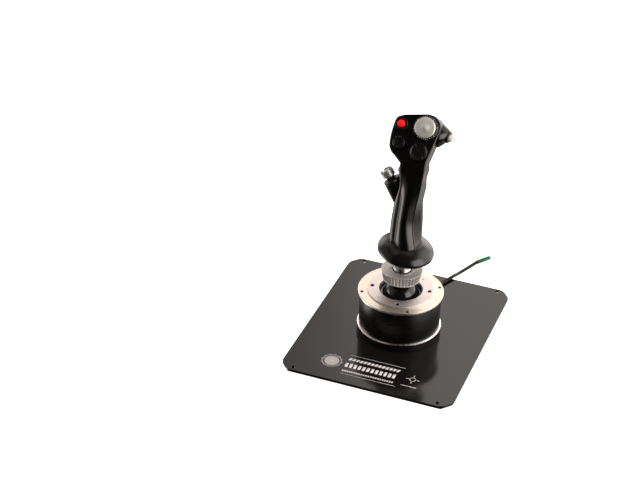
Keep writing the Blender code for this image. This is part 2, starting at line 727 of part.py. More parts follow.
def make_ball(holder):
    """The black ball: a thin dome about the pivot, with a lip that the spring pushes on."""
    outer = BALL_RADIUS / MM
    inner = (BALL_RADIUS - BALL_WALL) / MM
    centre = PIVOT.z / MM
    neck = NECK_RADIUS / MM + 0.3
    points = []
    start = math.asin(neck / outer)
    end = math.acos(-6 / outer)
    for k in range(9):
        angle = start + (end - start) * k / 8
        points.append((outer * math.sin(angle), centre + outer * math.cos(angle)))
    points.append((20.0, centre - 8.6))
    points.append((16.3, centre - 8.6))
    points.append((16.3, centre - 6.4))
    end = math.acos(-5 / inner)
    start = math.asin(neck / inner)
    for k in range(7):
        angle = end + (start - end) * k / 6
        points.append((inner * math.sin(angle), centre + inner * math.cos(angle)))
    turned("ball_dome", points, "gloss_black", holder, Matrix(), 36)


def make_sensor_board(name, along, holder):
    """A small sensor board on two stand-offs, facing a magnet."""
    board = add_part(name, box_mesh(name, (11 * MM, 8 * MM, 1.4 * MM)), "board_green", holder,
                     along @ Matrix.Translation((0, 0, 13.1 * MM)))
    for side in (-1, 1):
        post = cylinder_cutter(f"{name}_stud_{side + 1}", 0.8 * MM, EAR_OUTER + GAP, 12.6 * MM,
                               along @ Matrix.Translation((side * 3.6 * MM, 0, 0)), 8)
        combine(board, post, "UNION")


def make_electronics():
    """The controller board on the plate."""
    board = add_part("controller_board", box_mesh("controller_board", (36 * MM, 20 * MM, 1.6 * MM)),
                     "board_green", None, Matrix.Translation((0, -33 * MM, 10 * MM)))
    number = 0
    for x in (-15, 15):
        for y in (-40, -26):
            number += 1
            stud = cylinder_cutter(f"board_stud_{number}", 1.6 * MM, PLATE_TOP + GAP, 9.6 * MM,
                                   Matrix.Translation((x * MM, y * MM, 0)), 8)
            combine(board, stud, "UNION")


# ---------------------------------------------------------------- neck and hand rest

def make_neck(stick, ring_holder):
    """The fluted locking ring, the grip's metal hub and the disc under the hand rest."""
    top = RING_TOP / MM
    bottom = RING_BOTTOM / MM
    ring = turned("locking_ring", ((26.0, top), (26.25, top - 0.3), (23.9, bottom), (21.4, bottom), (21.4, 93.6),
                                   (12.3, 93.6), (12.3, top)), "satin_aluminium", ring_holder, Matrix(), 40)
    for side in (-1, 1):
        slot = box_mesh(f"ring_slot_{side + 1}", (5 * MM, 2 * MM, 2.4 * MM))
        matrix = Matrix.Rotation(math.radians(19), 4, "Z") @ Matrix.Translation((side * 14.5 * MM, 0, RING_TOP))
        combine(ring, add_cutter(f"ring_slot_{side + 1}", slot, matrix), "DIFFERENCE")
    hub = HUB_RADIUS / MM
    turned("grip_hub", ((hub, HUB_TOP / MM), (hub, 99.5), (11.4, 97.2), (11.4, 93.3), (20.6, 93.3), (20.6, 90.3),
                        (6.0, 90.3), (6.0, HUB_TOP / MM)), "steel", stick, Matrix(), 28)
    turned("neck_disc", ((15.4, 112.0), (16.0, 111.4), (16.0, 110.0), (9.8, 110.0), (9.8, 112.0)), "gloss_black",
           stick, Matrix(), 28)


def rest_matrix():
    """The hand rest's own frame: lower on the right, and tipped a little back."""
    return (Matrix.Translation(REST_CENTRE) @ Matrix.Rotation(REST_TILT_SIDE, 4, "Y")
            @ Matrix.Rotation(REST_TILT_BACK, 4, "X"))


def make_hand_rest(stick):
    """The saucer that the hand rests on, with a pocket for the foot of the grip."""
    profile = ((0, 12.0), (14.0, 11.6), (20.0, 10.4), (26.0, 8.0), (31.0, 4.6), (34.6, 0.8), (35.6, -0.6),
               (36.0, -2.4), (35.8, -4.6), (34.8, -5.8), (30.0, -6.6), (17.0, -9.4), (0, -9.4))
    rest = turned("hand_rest", profile, "gloss_black", stick, rest_matrix(), 48)
    bore = cylinder_cutter("rest_bore", HUB_RADIUS + GAP, 90 * MM, 145 * MM, Matrix(), 24)
    combine(rest, bore, "DIFFERENCE")
    stations = grip_stations()
    lower = moved_station(stations[0], -GAP)
    upper = moved_station(stations[0], 22 * MM)
    rings = [section_points(lower, -0.35, 2), section_points(stations[1], -0.35, 2),
             section_points(upper, -0.35, 2)]
    combine(rest, add_cutter("rest_pocket", loft_mesh("rest_pocket", rings)), "DIFFERENCE")


# ---------------------------------------------------------------- grip

def face_matrix(place_2d=(0, 0)):
    """A frame on the head's face, with X right, Y up the face and Z out of it."""
    right = FACE_AXES.col[0]
    up = FACE_AXES.col[2]
    out = -FACE_AXES.col[1]
    matrix = Matrix((right, up, out)).transposed().to_4x4()
    matrix.translation = FACE_CENTRE + right * place_2d[0] + up * place_2d[1]
    return matrix


def ring_mesh(centre, axes, radius, count):
    """World points of a circle."""
    points = []
    for k in range(count):
        angle = math.tau * k / count
        points.append(centre + axes @ Vector((math.cos(angle), math.sin(angle), 0)) * radius)
    return points


def boss_mesh(name, start, start_axes, start_radius, end, end_axes, end_radius, count=20):
    """A solid between two circles."""
    return loft_mesh(name, [ring_mesh(start, start_axes, start_radius, count),
                            ring_mesh(end, end_axes, end_radius, count)])


def side_boss_ring(depth, radius, down, reach, count):
    """An outline round the side button's axis, round above and behind, and fuller below and toward the face."""
    level = Vector((0, 0, 1))
    near = SIDE_BUTTON_AXIS.cross(level).normalized()
    if near.y > 0:
        near = -near
    upright = (level - SIDE_BUTTON_AXIS * SIDE_BUTTON_AXIS.dot(level)).normalized()
    centre = SIDE_BUTTON_PLACE - SIDE_BUTTON_AXIS * depth * MM
    points = []
    for k in range(count):
        angle = math.tau * k / count
        across = math.cos(angle)
        rise = math.sin(angle)
        if across > 0 and rise < 0:
            power = radius / reach
            across = across ** power
            rise = -((-rise) ** power)
        across *= reach if across > 0 else radius
        rise *= radius if rise > 0 else down
        points.append(centre + (near * across + upright * rise) * MM)
    return points


def make_grip(stick):
    """The hollow rear shell with its face, and the front cover that closes it."""
    shell = add_part("grip_shell", grip_skin("grip_shell", 0, 0), "grip_black", stick)
    cover = add_part("front_cover", grip_skin("front_cover", 0, 0), "grip_black", stick)
    side_frame = pointing(SIDE_BUTTON_PLACE, SIDE_BUTTON_AXIS)
    boss = loft_mesh("side_boss", [side_boss_ring(*row, 24) for row in SIDE_BOSS_ROWS])
    combine(shell, add_cutter("side_boss", boss), "UNION")
    cms_frame = pointing(CMS_PLACE, CMS_AXIS)
    cms_axes = cms_frame.to_3x3()
    foot_axes = pointing(CMS_BOSS_FOOT, CMS_PLACE - CMS_BOSS_FOOT).to_3x3()
    hollow = add_cutter("grip_hollow", grip_skin("grip_hollow", GRIP_WALL / MM, 12 * MM))
    combine(shell, hollow, "DIFFERENCE")
    combine(cover, hollow, "DIFFERENCE")
    boss = boss_mesh("cms_boss", CMS_BOSS_FOOT, foot_axes, 6 * MM, CMS_PLACE - CMS_AXIS * 2.9 * MM, cms_axes,
                     11.2 * MM)
    combine(shell, add_cutter("cms_boss", boss), "UNION")
    seam = SEAM_DEPTH / MM
    combine(shell, add_cutter("front_half", seam_block("front_half", seam - 0.15, 60)), "DIFFERENCE")
    combine(cover, add_cutter("rear_half", seam_block("rear_half", -40, seam + 0.15)), "DIFFERENCE")

    holes = (("thumb_button", THUMB_BUTTON_PLACE, 5.2), ("trim_hat", TRIM_HAT_PLACE, 8.0),
             ("left_hat", LEFT_HAT_PLACE, 5.6), ("right_hat", RIGHT_HAT_PLACE, 7.5))
    for name, spot, radius in holes:
        hole = cylinder_cutter(f"{name}_hole", radius * MM, -8 * MM, 8 * MM, face_matrix(spot), 20)
        combine(shell, hole, "DIFFERENCE")
    hole = turned_cutter("side_hole", ((0, 4), (5.5, 4), (5.5, -4), (3.2, -5), (3.2, -24), (0, -24)), side_frame, 20)
    combine(shell, hole, "DIFFERENCE")
    hole = turned_cutter("cms_hole", ((0, 3), (11.7, 3), (11.7, -2.9), (8.4, -2.9), (8.4, -8.5), (2.5, -11),
                                       (2.5, -24), (0, -24)), cms_frame, 24)
    combine(shell, hole, "DIFFERENCE")

    trigger_slot = add_cutter("trigger_slot", box_mesh("trigger_slot", (TRIGGER_WIDTH + 1.2 * MM, 22 * MM, 24 * MM)),
                              Matrix.Translation(TRIGGER_PIVOT + Vector((0, 10 * MM, -1 * MM))))
    combine(cover, trigger_slot, "DIFFERENCE")
    pinky_slot = add_cutter("pinky_slot", box_mesh("pinky_slot", (PINKY_WIDTH + 1.2 * MM, 22 * MM, 17 * MM)),
                            Matrix.Translation(PINKY_PIVOT + Vector((0, 8 * MM, 2 * MM))))
    combine(cover, pinky_slot, "DIFFERENCE")
    hole = cylinder_cutter("pinky_hole", 4.6 * MM, -10 * MM, 10 * MM, pinky_button_matrix(), 20)
    combine(cover, hole, "DIFFERENCE")
    tall = Matrix.Translation((3 * MM, 19 * MM, 193 * MM)) @ Matrix.Rotation(-COLUMN_LEAN, 4, "X")
    add_part("grip_board", box_mesh("grip_board", (18 * MM, 1.6 * MM, 62 * MM)), "board_green", stick, tall)


def pinky_button_matrix():
    """The small button on the front of the column, looking forward."""
    axes = grip_axes(COLUMN_LEAN, 0)
    forward = axes.col[1]
    place_3d = column_rear(PINKY_BUTTON_HEIGHT) + forward * 45.5 * MM
    return pointing(place_3d, forward, Vector((1, 0, 0)))


# ---------------------------------------------------------------- controls

def notched(part, name, frame, radius, width, depth, top, count):
    """Cuts evenly spaced notches into the rim of a cap."""
    for k in range(count):
        turn = Matrix.Rotation(math.tau * k / count, 4, "Z")
        block = box_mesh(f"{name}_notch_{k + 1}", (radius * MM, width * MM, depth * MM))
        matrix = frame @ turn @ Matrix.Translation((radius * 0.95 * MM, 0, top * MM))
        combine(part, add_cutter(f"{name}_notch_{k + 1}", block, matrix), "DIFFERENCE")


def make_hat(name, frame, profile, pin_reach, stick, finish):
    """A hat on a small cross: the cross rocks up and down, and the hat rocks sideways on it."""
    depth = HAT_PIVOT_DEPTH
    pivot = frame @ Matrix.Translation((0, 0, -depth))
    rocker = empty(f"{name}_pitch_axis", pivot, stick)
    holder = empty(f"{name}_roll_axis", pivot, rocker)
    along_x = pivot @ Matrix.Rotation(math.pi / 2, 4, "Y")
    along_y = pivot @ Matrix.Rotation(-math.pi / 2, 4, "X")
    reach = pin_reach
    cross = turned(f"{name}_cross", ((0, reach), (0.9, reach), (0.9, -reach), (0, -reach)), "steel", rocker,
                   along_x, 8)
    pin = turned_cutter(f"{name}_pin", ((0, 3.4), (0.9, 3.4), (0.9, -3.4), (0, -3.4)), along_y, 8)
    combine(cross, pin, "UNION")
    block = add_cutter(f"{name}_block", box_mesh(f"{name}_block", (3 * MM, 3 * MM, 2.4 * MM)), pivot)
    combine(cross, block, "UNION")
    hat = turned(name, profile, finish, holder, frame, 28)
    fork = box_mesh(f"{name}_fork", (3.2 * MM, 6.8 * MM, 7.2 * MM), (0, 0, -2.6 * MM))
    combine(hat, add_cutter(f"{name}_fork", fork, frame), "UNION")
    gap = box_mesh(f"{name}_gap", (8 * MM, 3.8 * MM, 5 * MM), (0, 0, -0.4 * MM))
    combine(hat, add_cutter(f"{name}_gap", gap, pivot), "DIFFERENCE")
    bore = cylinder_cutter(f"{name}_bore", 1.2 * MM, -6 * MM, 6 * MM, along_y, 8)
    combine(hat, bore, "DIFFERENCE")
    return hat


def make_face_controls(stick):
    """The red button and the three hats on the head's face."""
    frame = face_matrix(THUMB_BUTTON_PLACE)
    holder = empty("thumb_button_axis", frame, stick)
    turned("thumb_button", ((0, 3.9), (3.3, 3.7), (4.5, 3.0), (4.8, 2.2), (4.8, -3.6), (6.3, -3.6), (6.3, -5.4),
                            (0, -5.4)), "button_red", holder, frame, 24)

    frame = face_matrix(TRIM_HAT_PLACE)
    turned("trim_hat_bezel", ((14.6, 2.3), (15.4, 1.5), (15.4, 0.3), (9.2, 0.3), (9.2, 2.3)), "grip_black", stick,
           frame, 32)
    profile = ((0, 12.6), (6.0, 10.6), (11.6, 9.7), (12.75, 8.7), (12.75, 7.0), (11.8, 5.9), (3.4, 5.6), (3.2, -1.6),
               (0, -1.6))
    make_hat("trim_hat", frame, profile, 9.4, stick, "hat_silver")

    frame = face_matrix(LEFT_HAT_PLACE)
    profile = ((0, 6.6), (5.0, 6.6), (5.5, 8.2), (6.9, 8.2), (7.5, 7.4), (7.5, 2.8), (3.4, 2.4), (3.2, -1.6),
               (0, -1.6))
    hat = make_hat("left_hat", frame, profile, 7.2, stick, "grip_black")
    notched(hat, "left_hat", frame, 6.6, 2.6, 2.6, 8.4, 4)

    frame = face_matrix(RIGHT_HAT_PLACE)
    profile = ((0, 4.2), (8.6, 4.6), (9.6, 5.6), (10.4, 5.4), (10.9, 4.6), (10.9, 3.2), (10.4, 2.7), (3.4, 2.7),
               (3.2, -1.6), (0, -1.6))
    turned_frame = frame @ Matrix.Rotation(math.radians(28), 4, "Z")
    hat = make_hat("right_hat", frame, profile, 9.0, stick, "grip_black")
    for k in range(4):
        spot = turned_frame @ Matrix.Rotation(k * math.pi / 2, 4, "Z") @ Matrix.Translation((8.4 * MM, 0, 0))
        bump = turned_cutter(f"right_hat_bump_{k + 1}", ((0, 6.6), (1.2, 6.5), (2.0, 5.4), (2.0, 3.4), (0, 3.4)),
                             spot, 10)
        combine(hat, bump, "UNION")


def make_side_controls(stick):
    """The button on the right of the head, and the hat on the left of the column."""
    frame = pointing(SIDE_BUTTON_PLACE, SIDE_BUTTON_AXIS)
    turned("side_bezel", ((6.6, 2.7), (7.3, 2.0), (7.3, 0.3), (5.4, 0.3), (5.4, 2.7)), "barrel_black", stick, frame, 24)
    holder = empty("side_button_axis", frame, stick)
    turned("side_button", ((0, 6.6), (4.0, 6.5), (4.8, 5.8), (4.8, -2.0), (2.9, -2.6), (2.9, -7.0), (0, -7.0)),
           "hat_silver", holder, frame, 20)

    frame = pointing(CMS_PLACE, CMS_AXIS)
    turned("cms_collar", ((10.7, 0), (11.4, -0.7), (11.4, -2.6), (6.2, -2.6), (6.2, 0)), "grip_black", stick, frame,
           24)
    profile = ((0, 12.6), (5.6, 12.6), (6.0, 14.0), (7.6, 14.0), (8.3, 13.3), (8.3, 5.2), (7.6, 4.5), (4.4, 4.5),
               (5.0, 1.2), (3.2, -0.4), (3.2, -1.6), (0, -1.6))
    hat = make_hat("cms_hat", frame, profile, 7.8, stick, "hat_silver")
    notched(hat, "cms_hat", frame, 8, 3.0, 4.0, 13.6, 4)


def lever(name, pivot, points, width, finish, holder):
    """A lever cut from an outline in the YZ plane, given in millimetres from its pivot."""
    mesh = outline_mesh(name, [Vector((y * MM, z * MM)) for y, z in points], width)
    turn = Matrix(((0, 0, 1, 0), (1, 0, 0, 0), (0, 1, 0, 0), (0, 0, 0, 1)))
    part = add_part(name, mesh, finish, holder, Matrix.Translation(pivot) @ turn)
    bore = cylinder_cutter(f"{name}_bore", 1.5 * MM, -12 * MM, 12 * MM, Matrix.Translation(pivot) @ turn, 12)
    combine(part, bore, "DIFFERENCE")
    return part


def make_levers(stick):
    """The trigger, the little finger's lever and its button, on the front of the grip."""
    holder = empty("trigger_axis", Matrix.Translation(TRIGGER_PIVOT), stick)
    outline = ((-3.2, 3.0), (0, 4.0), (6, 3.4), (12, 1.0), (16.5, -4.5), (18.6, -12), (18.8, -20), (17.4, -28),
               (14.6, -34), (12.8, -33), (13.6, -27), (13.9, -19), (12.6, -12), (9.4, -7), (4, -4.4), (-1.8, -3.6),
               (-3.8, -1))
    trigger = lever("trigger", TRIGGER_PIVOT, outline, TRIGGER_WIDTH, "grip_black", holder)
    bevel(trigger, 1.0 * MM, 1)
    pin = ((0, 8.2), (1.2, 8.2), (1.2, -8.2), (0, -8.2))
    turned("trigger_pin", pin, "steel", stick, pointing(TRIGGER_PIVOT, Vector((1, 0, 0))), 12)

    holder = empty("pinky_lever_axis", Matrix.Translation(PINKY_PIVOT), stick)
    outline = ((-3.0, 2.0), (2, 3.4), (6.2, 4.4), (9.6, 10), (12.8, 24), (15.6, 37), (17.8, 38.4), (19.0, 37),
               (17.0, 22), (14.0, 8), (11.0, -0.5), (6.0, -3.4), (0, -3.6), (-3.0, -2.0))
    paddle = lever("pinky_lever", PINKY_PIVOT, outline, PINKY_WIDTH, "grip_black", holder)
    bevel(paddle, 1.0 * MM, 1)
    pin = ((0, 9.4), (1.2, 9.4), (1.2, -9.4), (0, -9.4))
    turned("pinky_pin", pin, "steel", stick, pointing(PINKY_PIVOT, Vector((1, 0, 0))), 12)

    frame = pinky_button_matrix()
    holder = empty("pinky_button_axis", frame, stick)
    turned("pinky_button", ((0, 3.0), (3.2, 2.8), (4.2, 1.8), (4.2, -4.6), (5.8, -4.6), (5.8, -6.2), (0, -6.2)),
           "grip_black", holder, frame, 20)


# ---------------------------------------------------------------- cable

def make_cable():
    """The strain relief, the cable's two free stretches, its stored coil with a tie, and the plug."""
    frame = pointing(Vector((0, 0, CORD_EXIT_HEIGHT)), exit_direction(), Vector((0, 0, 1)))
    end = RELIEF_END / MM - 0.3
    turned("strain_relief", ((0, end), (2.7, end), (4.2, 57.5), (5.0, 57.0), (5.0, 54.3), (3.6, 54.3), (3.6, 47.4),
                             (5.4, 47.4), (5.4, 45.4), (0, 45.4)), "rubber", None, frame, 16)
    spacing = 2.4 * 2 * CORD_RADIUS
    tube("cord_lead", smooth_route(LEAD_ROUTE, spacing), CORD_RADIUS, "cord_black")
    tube("cord_run", smooth_route(RUN_ROUTE, spacing), CORD_RADIUS, "cord_black")
    inner = (COIL_MIDDLE_RADIUS - COIL_HALF_WIDTH) / MM
    outer = (COIL_MIDDLE_RADIUS + COIL_HALF_WIDTH) / MM
    low = COIL_BOTTOM / MM
    high = COIL_TOP / MM
    turned("cord_coil", ((outer - 1.5, high), (outer, high - 1.5), (outer, low + 1.5), (outer - 1.5, low),
                         (inner + 1.5, low), (inner, low + 1.5), (inner, high - 1.5), (inner + 1.5, high)),
           "cord_black", None, Matrix.Translation(COIL_CENTRE), 36)
    make_tie()
    make_plug()


def make_tie():
    """A flat band round the coil's bundle."""
    half_width = COIL_HALF_WIDTH + GAP
    half_height = (COIL_TOP - COIL_BOTTOM) / 2 + GAP
    middle = (COIL_TOP + COIL_BOTTOM) / 2
    turn = Matrix.Rotation(math.radians(150), 4, "Z")
    spot = Matrix.Translation((COIL_CENTRE.x, COIL_CENTRE.y, middle)) @ turn
    spot = spot @ Matrix.Translation((COIL_MIDDLE_RADIUS, 0, 0))
    band = TIE_THICKNESS
    tie = add_part("cord_tie", box_mesh("cord_tie", (2 * (half_width + band + 0.9 * MM), 7 * MM,
                                                     2 * (half_height + band))), "rubber", None, spot)
    hole = box_mesh("tie_hole", (2 * (half_width + 0.9 * MM), 20 * MM, 2 * half_height))
    combine(tie, add_cutter("tie_hole", hole, spot), "DIFFERENCE")


def make_plug():
    """The slim plug at the cable's end, under its rounded cap."""
    last = Vector(RUN_ROUTE[-1]) * MM
    frame = pointing(last, PLUG_DIRECTION, Vector((0, 0, 1)))
    outer = PLUG_CAP_RADIUS / MM
    end = PLUG_CAP_LENGTH / MM
    turned("plug_body", ((0, end), (0.6 * outer, end - 0.4), (0.92 * outer, end - 1.5), (outer, end - 3.0), (outer, 1.0),
                         (outer - 0.4, 0.6), (2.05, 0.6), (2.05, end - 2.8), (0, end - 2.8)), "cap_green", None, frame, 16)
    turned("plug_shell", ((0, end - 3.6), (1.3, end - 3.6), (1.75, end - 4.1), (1.75, 0.6), (0, 0.6)), "steel", None,
           frame, 14)


# ---------------------------------------------------------------- assembly

pitch_axis = empty("pitch_axis", Matrix.Translation(PIVOT))
stick_axis = empty("stick_axis", Matrix.Translation(PIVOT), pitch_axis)
ring_axis = empty("locking_ring_axis", Matrix.Translation((0, 0, RING_BOTTOM)), stick_axis)

make_plate()
make_housing()
make_gimbal(pitch_axis, stick_axis)
make_electronics()
make_neck(stick_axis, ring_axis)
make_hand_rest(stick_axis)
make_grip(stick_axis)
make_face_controls(stick_axis)
make_side_controls(stick_axis)
make_levers(stick_axis)
make_cable()
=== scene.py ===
"""The looks of a desk flight joystick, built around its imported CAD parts.

Everything is in the frame of the CAD: +Z up, +Y away from the pilot, +X to the right, the origin on the desk
under the axis of the base. Lengths are written in millimetres times MM.
"""

import json
import math

import bmesh
import bpy
from mathutils import Matrix, Vector

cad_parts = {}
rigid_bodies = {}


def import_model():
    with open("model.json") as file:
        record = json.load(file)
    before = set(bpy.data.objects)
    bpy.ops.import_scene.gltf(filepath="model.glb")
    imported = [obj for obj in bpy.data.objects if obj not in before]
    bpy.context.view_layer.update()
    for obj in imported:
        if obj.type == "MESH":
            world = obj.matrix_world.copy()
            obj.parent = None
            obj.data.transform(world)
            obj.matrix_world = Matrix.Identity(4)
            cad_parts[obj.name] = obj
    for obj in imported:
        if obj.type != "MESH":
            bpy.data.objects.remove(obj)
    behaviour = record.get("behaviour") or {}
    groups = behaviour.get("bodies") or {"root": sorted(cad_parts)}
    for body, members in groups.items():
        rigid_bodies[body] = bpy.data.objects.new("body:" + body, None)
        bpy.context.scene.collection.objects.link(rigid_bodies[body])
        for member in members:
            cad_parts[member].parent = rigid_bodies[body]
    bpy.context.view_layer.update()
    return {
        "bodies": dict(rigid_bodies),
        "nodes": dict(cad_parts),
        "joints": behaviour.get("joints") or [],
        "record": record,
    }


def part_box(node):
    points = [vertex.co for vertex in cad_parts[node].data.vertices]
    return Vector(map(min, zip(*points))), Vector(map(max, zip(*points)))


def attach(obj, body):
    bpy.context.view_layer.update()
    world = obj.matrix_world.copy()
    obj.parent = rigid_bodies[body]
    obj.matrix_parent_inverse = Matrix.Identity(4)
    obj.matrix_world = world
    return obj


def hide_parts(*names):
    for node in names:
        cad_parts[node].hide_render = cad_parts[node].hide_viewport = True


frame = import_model()

MM = 0.001

# Camera: where it looks from, and how far the object stands from the middle of the view
CAMERA_AZIMUTH = math.radians(20.12)
CAMERA_ELEVATION = math.radians(32.49)
CAMERA_ROLL = math.radians(1.64)
CAMERA_DISTANCE = 2.244
CAMERA_LENS = 97.93
AIM_RIGHT = -0.1011
AIM_UP = 0.1159
AIM_HEIGHT = 0.0015
SENSOR_WIDTH = 36

# Base
PLATE_WIDTH = 225 * MM
PLATE_DEPTH = 273 * MM
PLATE_CUT_X = 12 * MM
PLATE_CUT_Y = 14 * MM
PLATE_CORNER_RADIUS = 14 * MM
PLATE_HOLE_RADIUS = 2.75 * MM
PLATE_HOLE_X = 94.25 * MM
PLATE_HOLE_Y = 130.3 * MM
PLATE_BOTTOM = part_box("base_plate")[0].z
PLATE_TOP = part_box("base_plate")[1].z
FLANGE_SCREW_CIRCLE = 50 * MM
FLANGE_SCREW_TURN = math.radians(-62)
CLAMP_SCREW_CIRCLE = 36.5 * MM
CLAMP_SCREW_TURN = math.radians(-78)
PIVOT = Vector((0, 0, 56 * MM))
BALL_RADIUS = 22 * MM
NECK_RADIUS = 11.8 * MM
RING_TOP = 96.6 * MM
RING_BOTTOM = 83 * MM
RING_FLUTES = 36
FLUTE_DEPTH = 1.9

# Print on the plate, in millimetres except for the ink
DIAL_PLACE = (-54.6, -98.8)
RETICLE_PLACE = (51.6, -97.6)
PRINT_LEFT = -36
INK_THICKNESS = 0.02 * MM
PAD_PITCH = 2.54 * MM

# Hand rest and grip
REST_CENTRE = Vector((2.5 * MM, 4 * MM, 125.5 * MM))
REST_TILT_SIDE = math.radians(8)
REST_TILT_BACK = math.radians(2)
COLUMN_LEAN = math.radians(8)
COLUMN_START_Z = 100 * MM
COLUMN_REAR = 22 * MM
FACE_CENTRE = Vector((-2 * MM, 13 * MM, 270.3 * MM))
FACE_LEAN = math.radians(33)
FACE_TWIST = math.radians(8)
SEAM_DEPTH = 29
SEAM_GAP = 0.4
GRIP_WALL = 2.8
HAT_PIVOT = -4.6 * MM

# Each row: height of the rear line, lean and twist in degrees, then rear left, rear right, rear bulge,
# rear left corner radius, middle left, middle right and depth, in millimetres
COLUMN_ROWS = (
    (128, 8, 0, -18.3, 19.0, 8.0, 9.0, -20.8, 21.0, 47.0),
    (137, 8, 0, -18.1, 17.8, 8.0, 9.0, -20.6, 20.4, 47.0),
    (150, 8, 0, -18.1, 14.6, 8.0, 9.0, -20.3, 20.4, 47.0),
    (168, 8, 0, -17.9, 11.9, 8.0, 9.0, -19.8, 19.8, 46.5),
    (182, 8, 0, -16.8, 12.6, 7.8, 9.0, -19.0, 18.6, 46.0),
    (195, 9.5, 0, -15.2, 14.0, 7.2, 8.5, -17.8, 17.7, 45.5),
    (206, 12, 0.5, -12.6, 15.9, 6.0, 7.0, -16.4, 19.0, 45.0),
    (217, 15.5, 1.5, -9.8, 17.7, 4.2, 5.0, -15.2, 20.5, 44.5),
    (229, 20, 3.5, -9.6, 19.3, 2.6, 4.0, -15.2, 20.6, 44.0),
    (240, 25, 5.5, -10.2, 20.5, 1.2, 3.5, -16.5, 23.5, 43.0),
)
# Each row: height up the face from its centre, left edge, right edge and depth, in millimetres
HEAD_ROWS = (
    (-24.0, -13.6, 18.4, 42.5),
    (-16.5, -19.2, 21.8, 42.0),
    (-9.0, -25.1, 25.1, 41.5),
    (-3.0, -26.9, 27.8, 41.0),
    (6.0, -26.1, 31.8, 40.0),
    (14.0, -24.4, 35.2, 38.5),
    (22.0, -22.0, 35.6, 36.0),
    (28.0, -19.8, 32.6, 33.0),
    (32.5, -16.6, 27.6, 28.0),
    (34.8, -8.5, 21.0, 22.0),
)
THUMB_BUTTON_PLACE = (-11.9 * MM, 23.6 * MM)
TRIM_HAT_PLACE = (17.9 * MM, 17.7 * MM)
LEFT_HAT_PLACE = (-14.4 * MM, 0.7 * MM)
RIGHT_HAT_PLACE = (9.3 * MM, -11.1 * MM)
SIDE_BUTTON_PLACE = Vector((36.5 * MM, 39.6 * MM, 273.3 * MM))
SIDE_BUTTON_AXIS = Vector((1, -0.2, -0.15)).normalized()
# Each row of the boss under the side button: depth behind the button, radius, reach downward and reach toward
# the face, in millimetres
SIDE_BOSS_ROWS = (
    (19, 15.5, 21.5, 20.0),
    (12, 12.6, 18.5, 18.5),
    (5, 9.9, 14.0, 15.5),
    (2, 8.6, 10.5, 11.5),
    (0.5, 7.85, 8.4, 8.6),
    (0, 7.6, 7.6, 7.6),
)
CMS_PLACE = Vector((-22.8 * MM, 8 * MM, 218 * MM))
CMS_AXIS = Vector((-0.57, 0, 0.82)).normalized()
CMS_BOSS_FOOT = Vector((-13 * MM, 9 * MM, 188 * MM))
TRIGGER_PIVOT = Vector((-2.5 * MM, 43.2 * MM, 253.9 * MM))
TRIGGER_WIDTH = 11 * MM
PINKY_PIVOT = Vector((0, 25.2 * MM, 144 * MM))
PINKY_WIDTH = 14 * MM
PINKY_BUTTON_HEIGHT = 196 * MM

# Cord
CORD_RADIUS = 2.25 * MM
CORD_EXIT_ANGLE = math.radians(80)
CORD_EXIT_HEIGHT = 10.6 * MM
COIL_CENTRE = Vector((-22 * MM, 87 * MM, 0))
COIL_MIDDLE_RADIUS = 27 * MM
COIL_BOTTOM = 6.1 * MM
COIL_TOP = 19.6 * MM
COIL_FIRST_POINT = math.radians(18)
COIL_STEP = math.radians(360 / 20)
COIL_FIRST_CHANGE = math.radians(20)
COIL_CHANGE_WIDTH = math.radians(48)
COIL_CHANGE_LEAD = math.radians(24)
COIL_LAST_TURN = math.radians(225)
COIL_SETTLE = math.radians(85)
LEAD_ROUTE = (
    (12.56, 71.2, 10.2),
    (14.1, 79.5, 7.4),
    (14.7, 87.5, 6.9),
    (13.3, 96.5, 6.9),
    (8.8, 106.3, 6.9),
)
RUN_ROUTE = (
    (13.9, 93.6, 15.2),
    (17.2, 103.0, 12.2),
    (20.3, 112.5, 8.4),
    (22.6, 120.5, 7.0),
    (25.8, 128.4, 7.1),
    (28.8, 135.6, 7.15),
    (30.7, 141.2, 6.9),
    (32.3, 150.5, 3.9),
    (34.8, 159.3, 2.6),
    (38.6, 168.8, 2.5),
    (43.1, 179.5, 2.6),
    (47.9, 190.8, 2.9),
)
PLUG_DIRECTION = Vector((13.9, 19.8, 0)).normalized()
PLUG_CAP_RADIUS = 2.7
PLUG_CAP_LENGTH = 24.2

# Studio light. Each row is a soft panel: whether its angles are counted from the viewer's side or from behind,
# its left and right edges (right is positive), its lower and upper edges, the width of its soft edge, all in
# degrees, and its strength.
LIGHT_PANELS = (
    ("front", -150, -58, -55, 50, 18, 0.38),
    ("front", -116, -88, -50, 14, 12, 3.6),
    ("front", 58, 128, -60, 50, 18, 0.40),
    ("front", 82, 130, -18, 50, 14, 1.9),
    ("front", 36, 78, -20, 40, 12, 4.5),
    ("rear", -46, -16, -24, 28, 12, 1.5),
    ("rear", 14, 46, -20, 2, 12, 0.8),
    ("rear", 14, 46, 2, 28, 10, 3.2),
    ("rear", -44, 44, 18, 60, 12, 0.62),
    ("rear", 1, 40, 24, 60, 5, 1.1),
    ("rear", -50, 0, -58, 8, 16, 0.22),
    ("rear", 0, 70, -58, 8, 16, 0.75),
    ("rear", -120, 120, 62, 88, 10, 0.55),
)
LIGHT_COLOUR = (1.0, 0.925, 0.89)
ROOM_STRENGTH = 0.008
KEY_POWER = 42
KEY_COLOUR = (1.0, 0.96, 0.93)
KEY_SIZE = 1.4
KEY_FORWARD = 1.1
KEY_LEFT = 0.35
KEY_HEIGHT = 2.0
WALL_COLOUR = (0.93, 0.93, 0.93)

# Floor: half its side, how far it lies below the feet, its glow, and where its painted shade under the plate's edge
# fades out
FLOOR_HALF = 6
FLOOR_DROP = 0.2 * MM
FLOOR_GLOW = 1.0
FLOOR_SHADE_EDGE = (-1.8 * MM, -1.0 * MM)


# ---------------------------------------------------------------- node materials

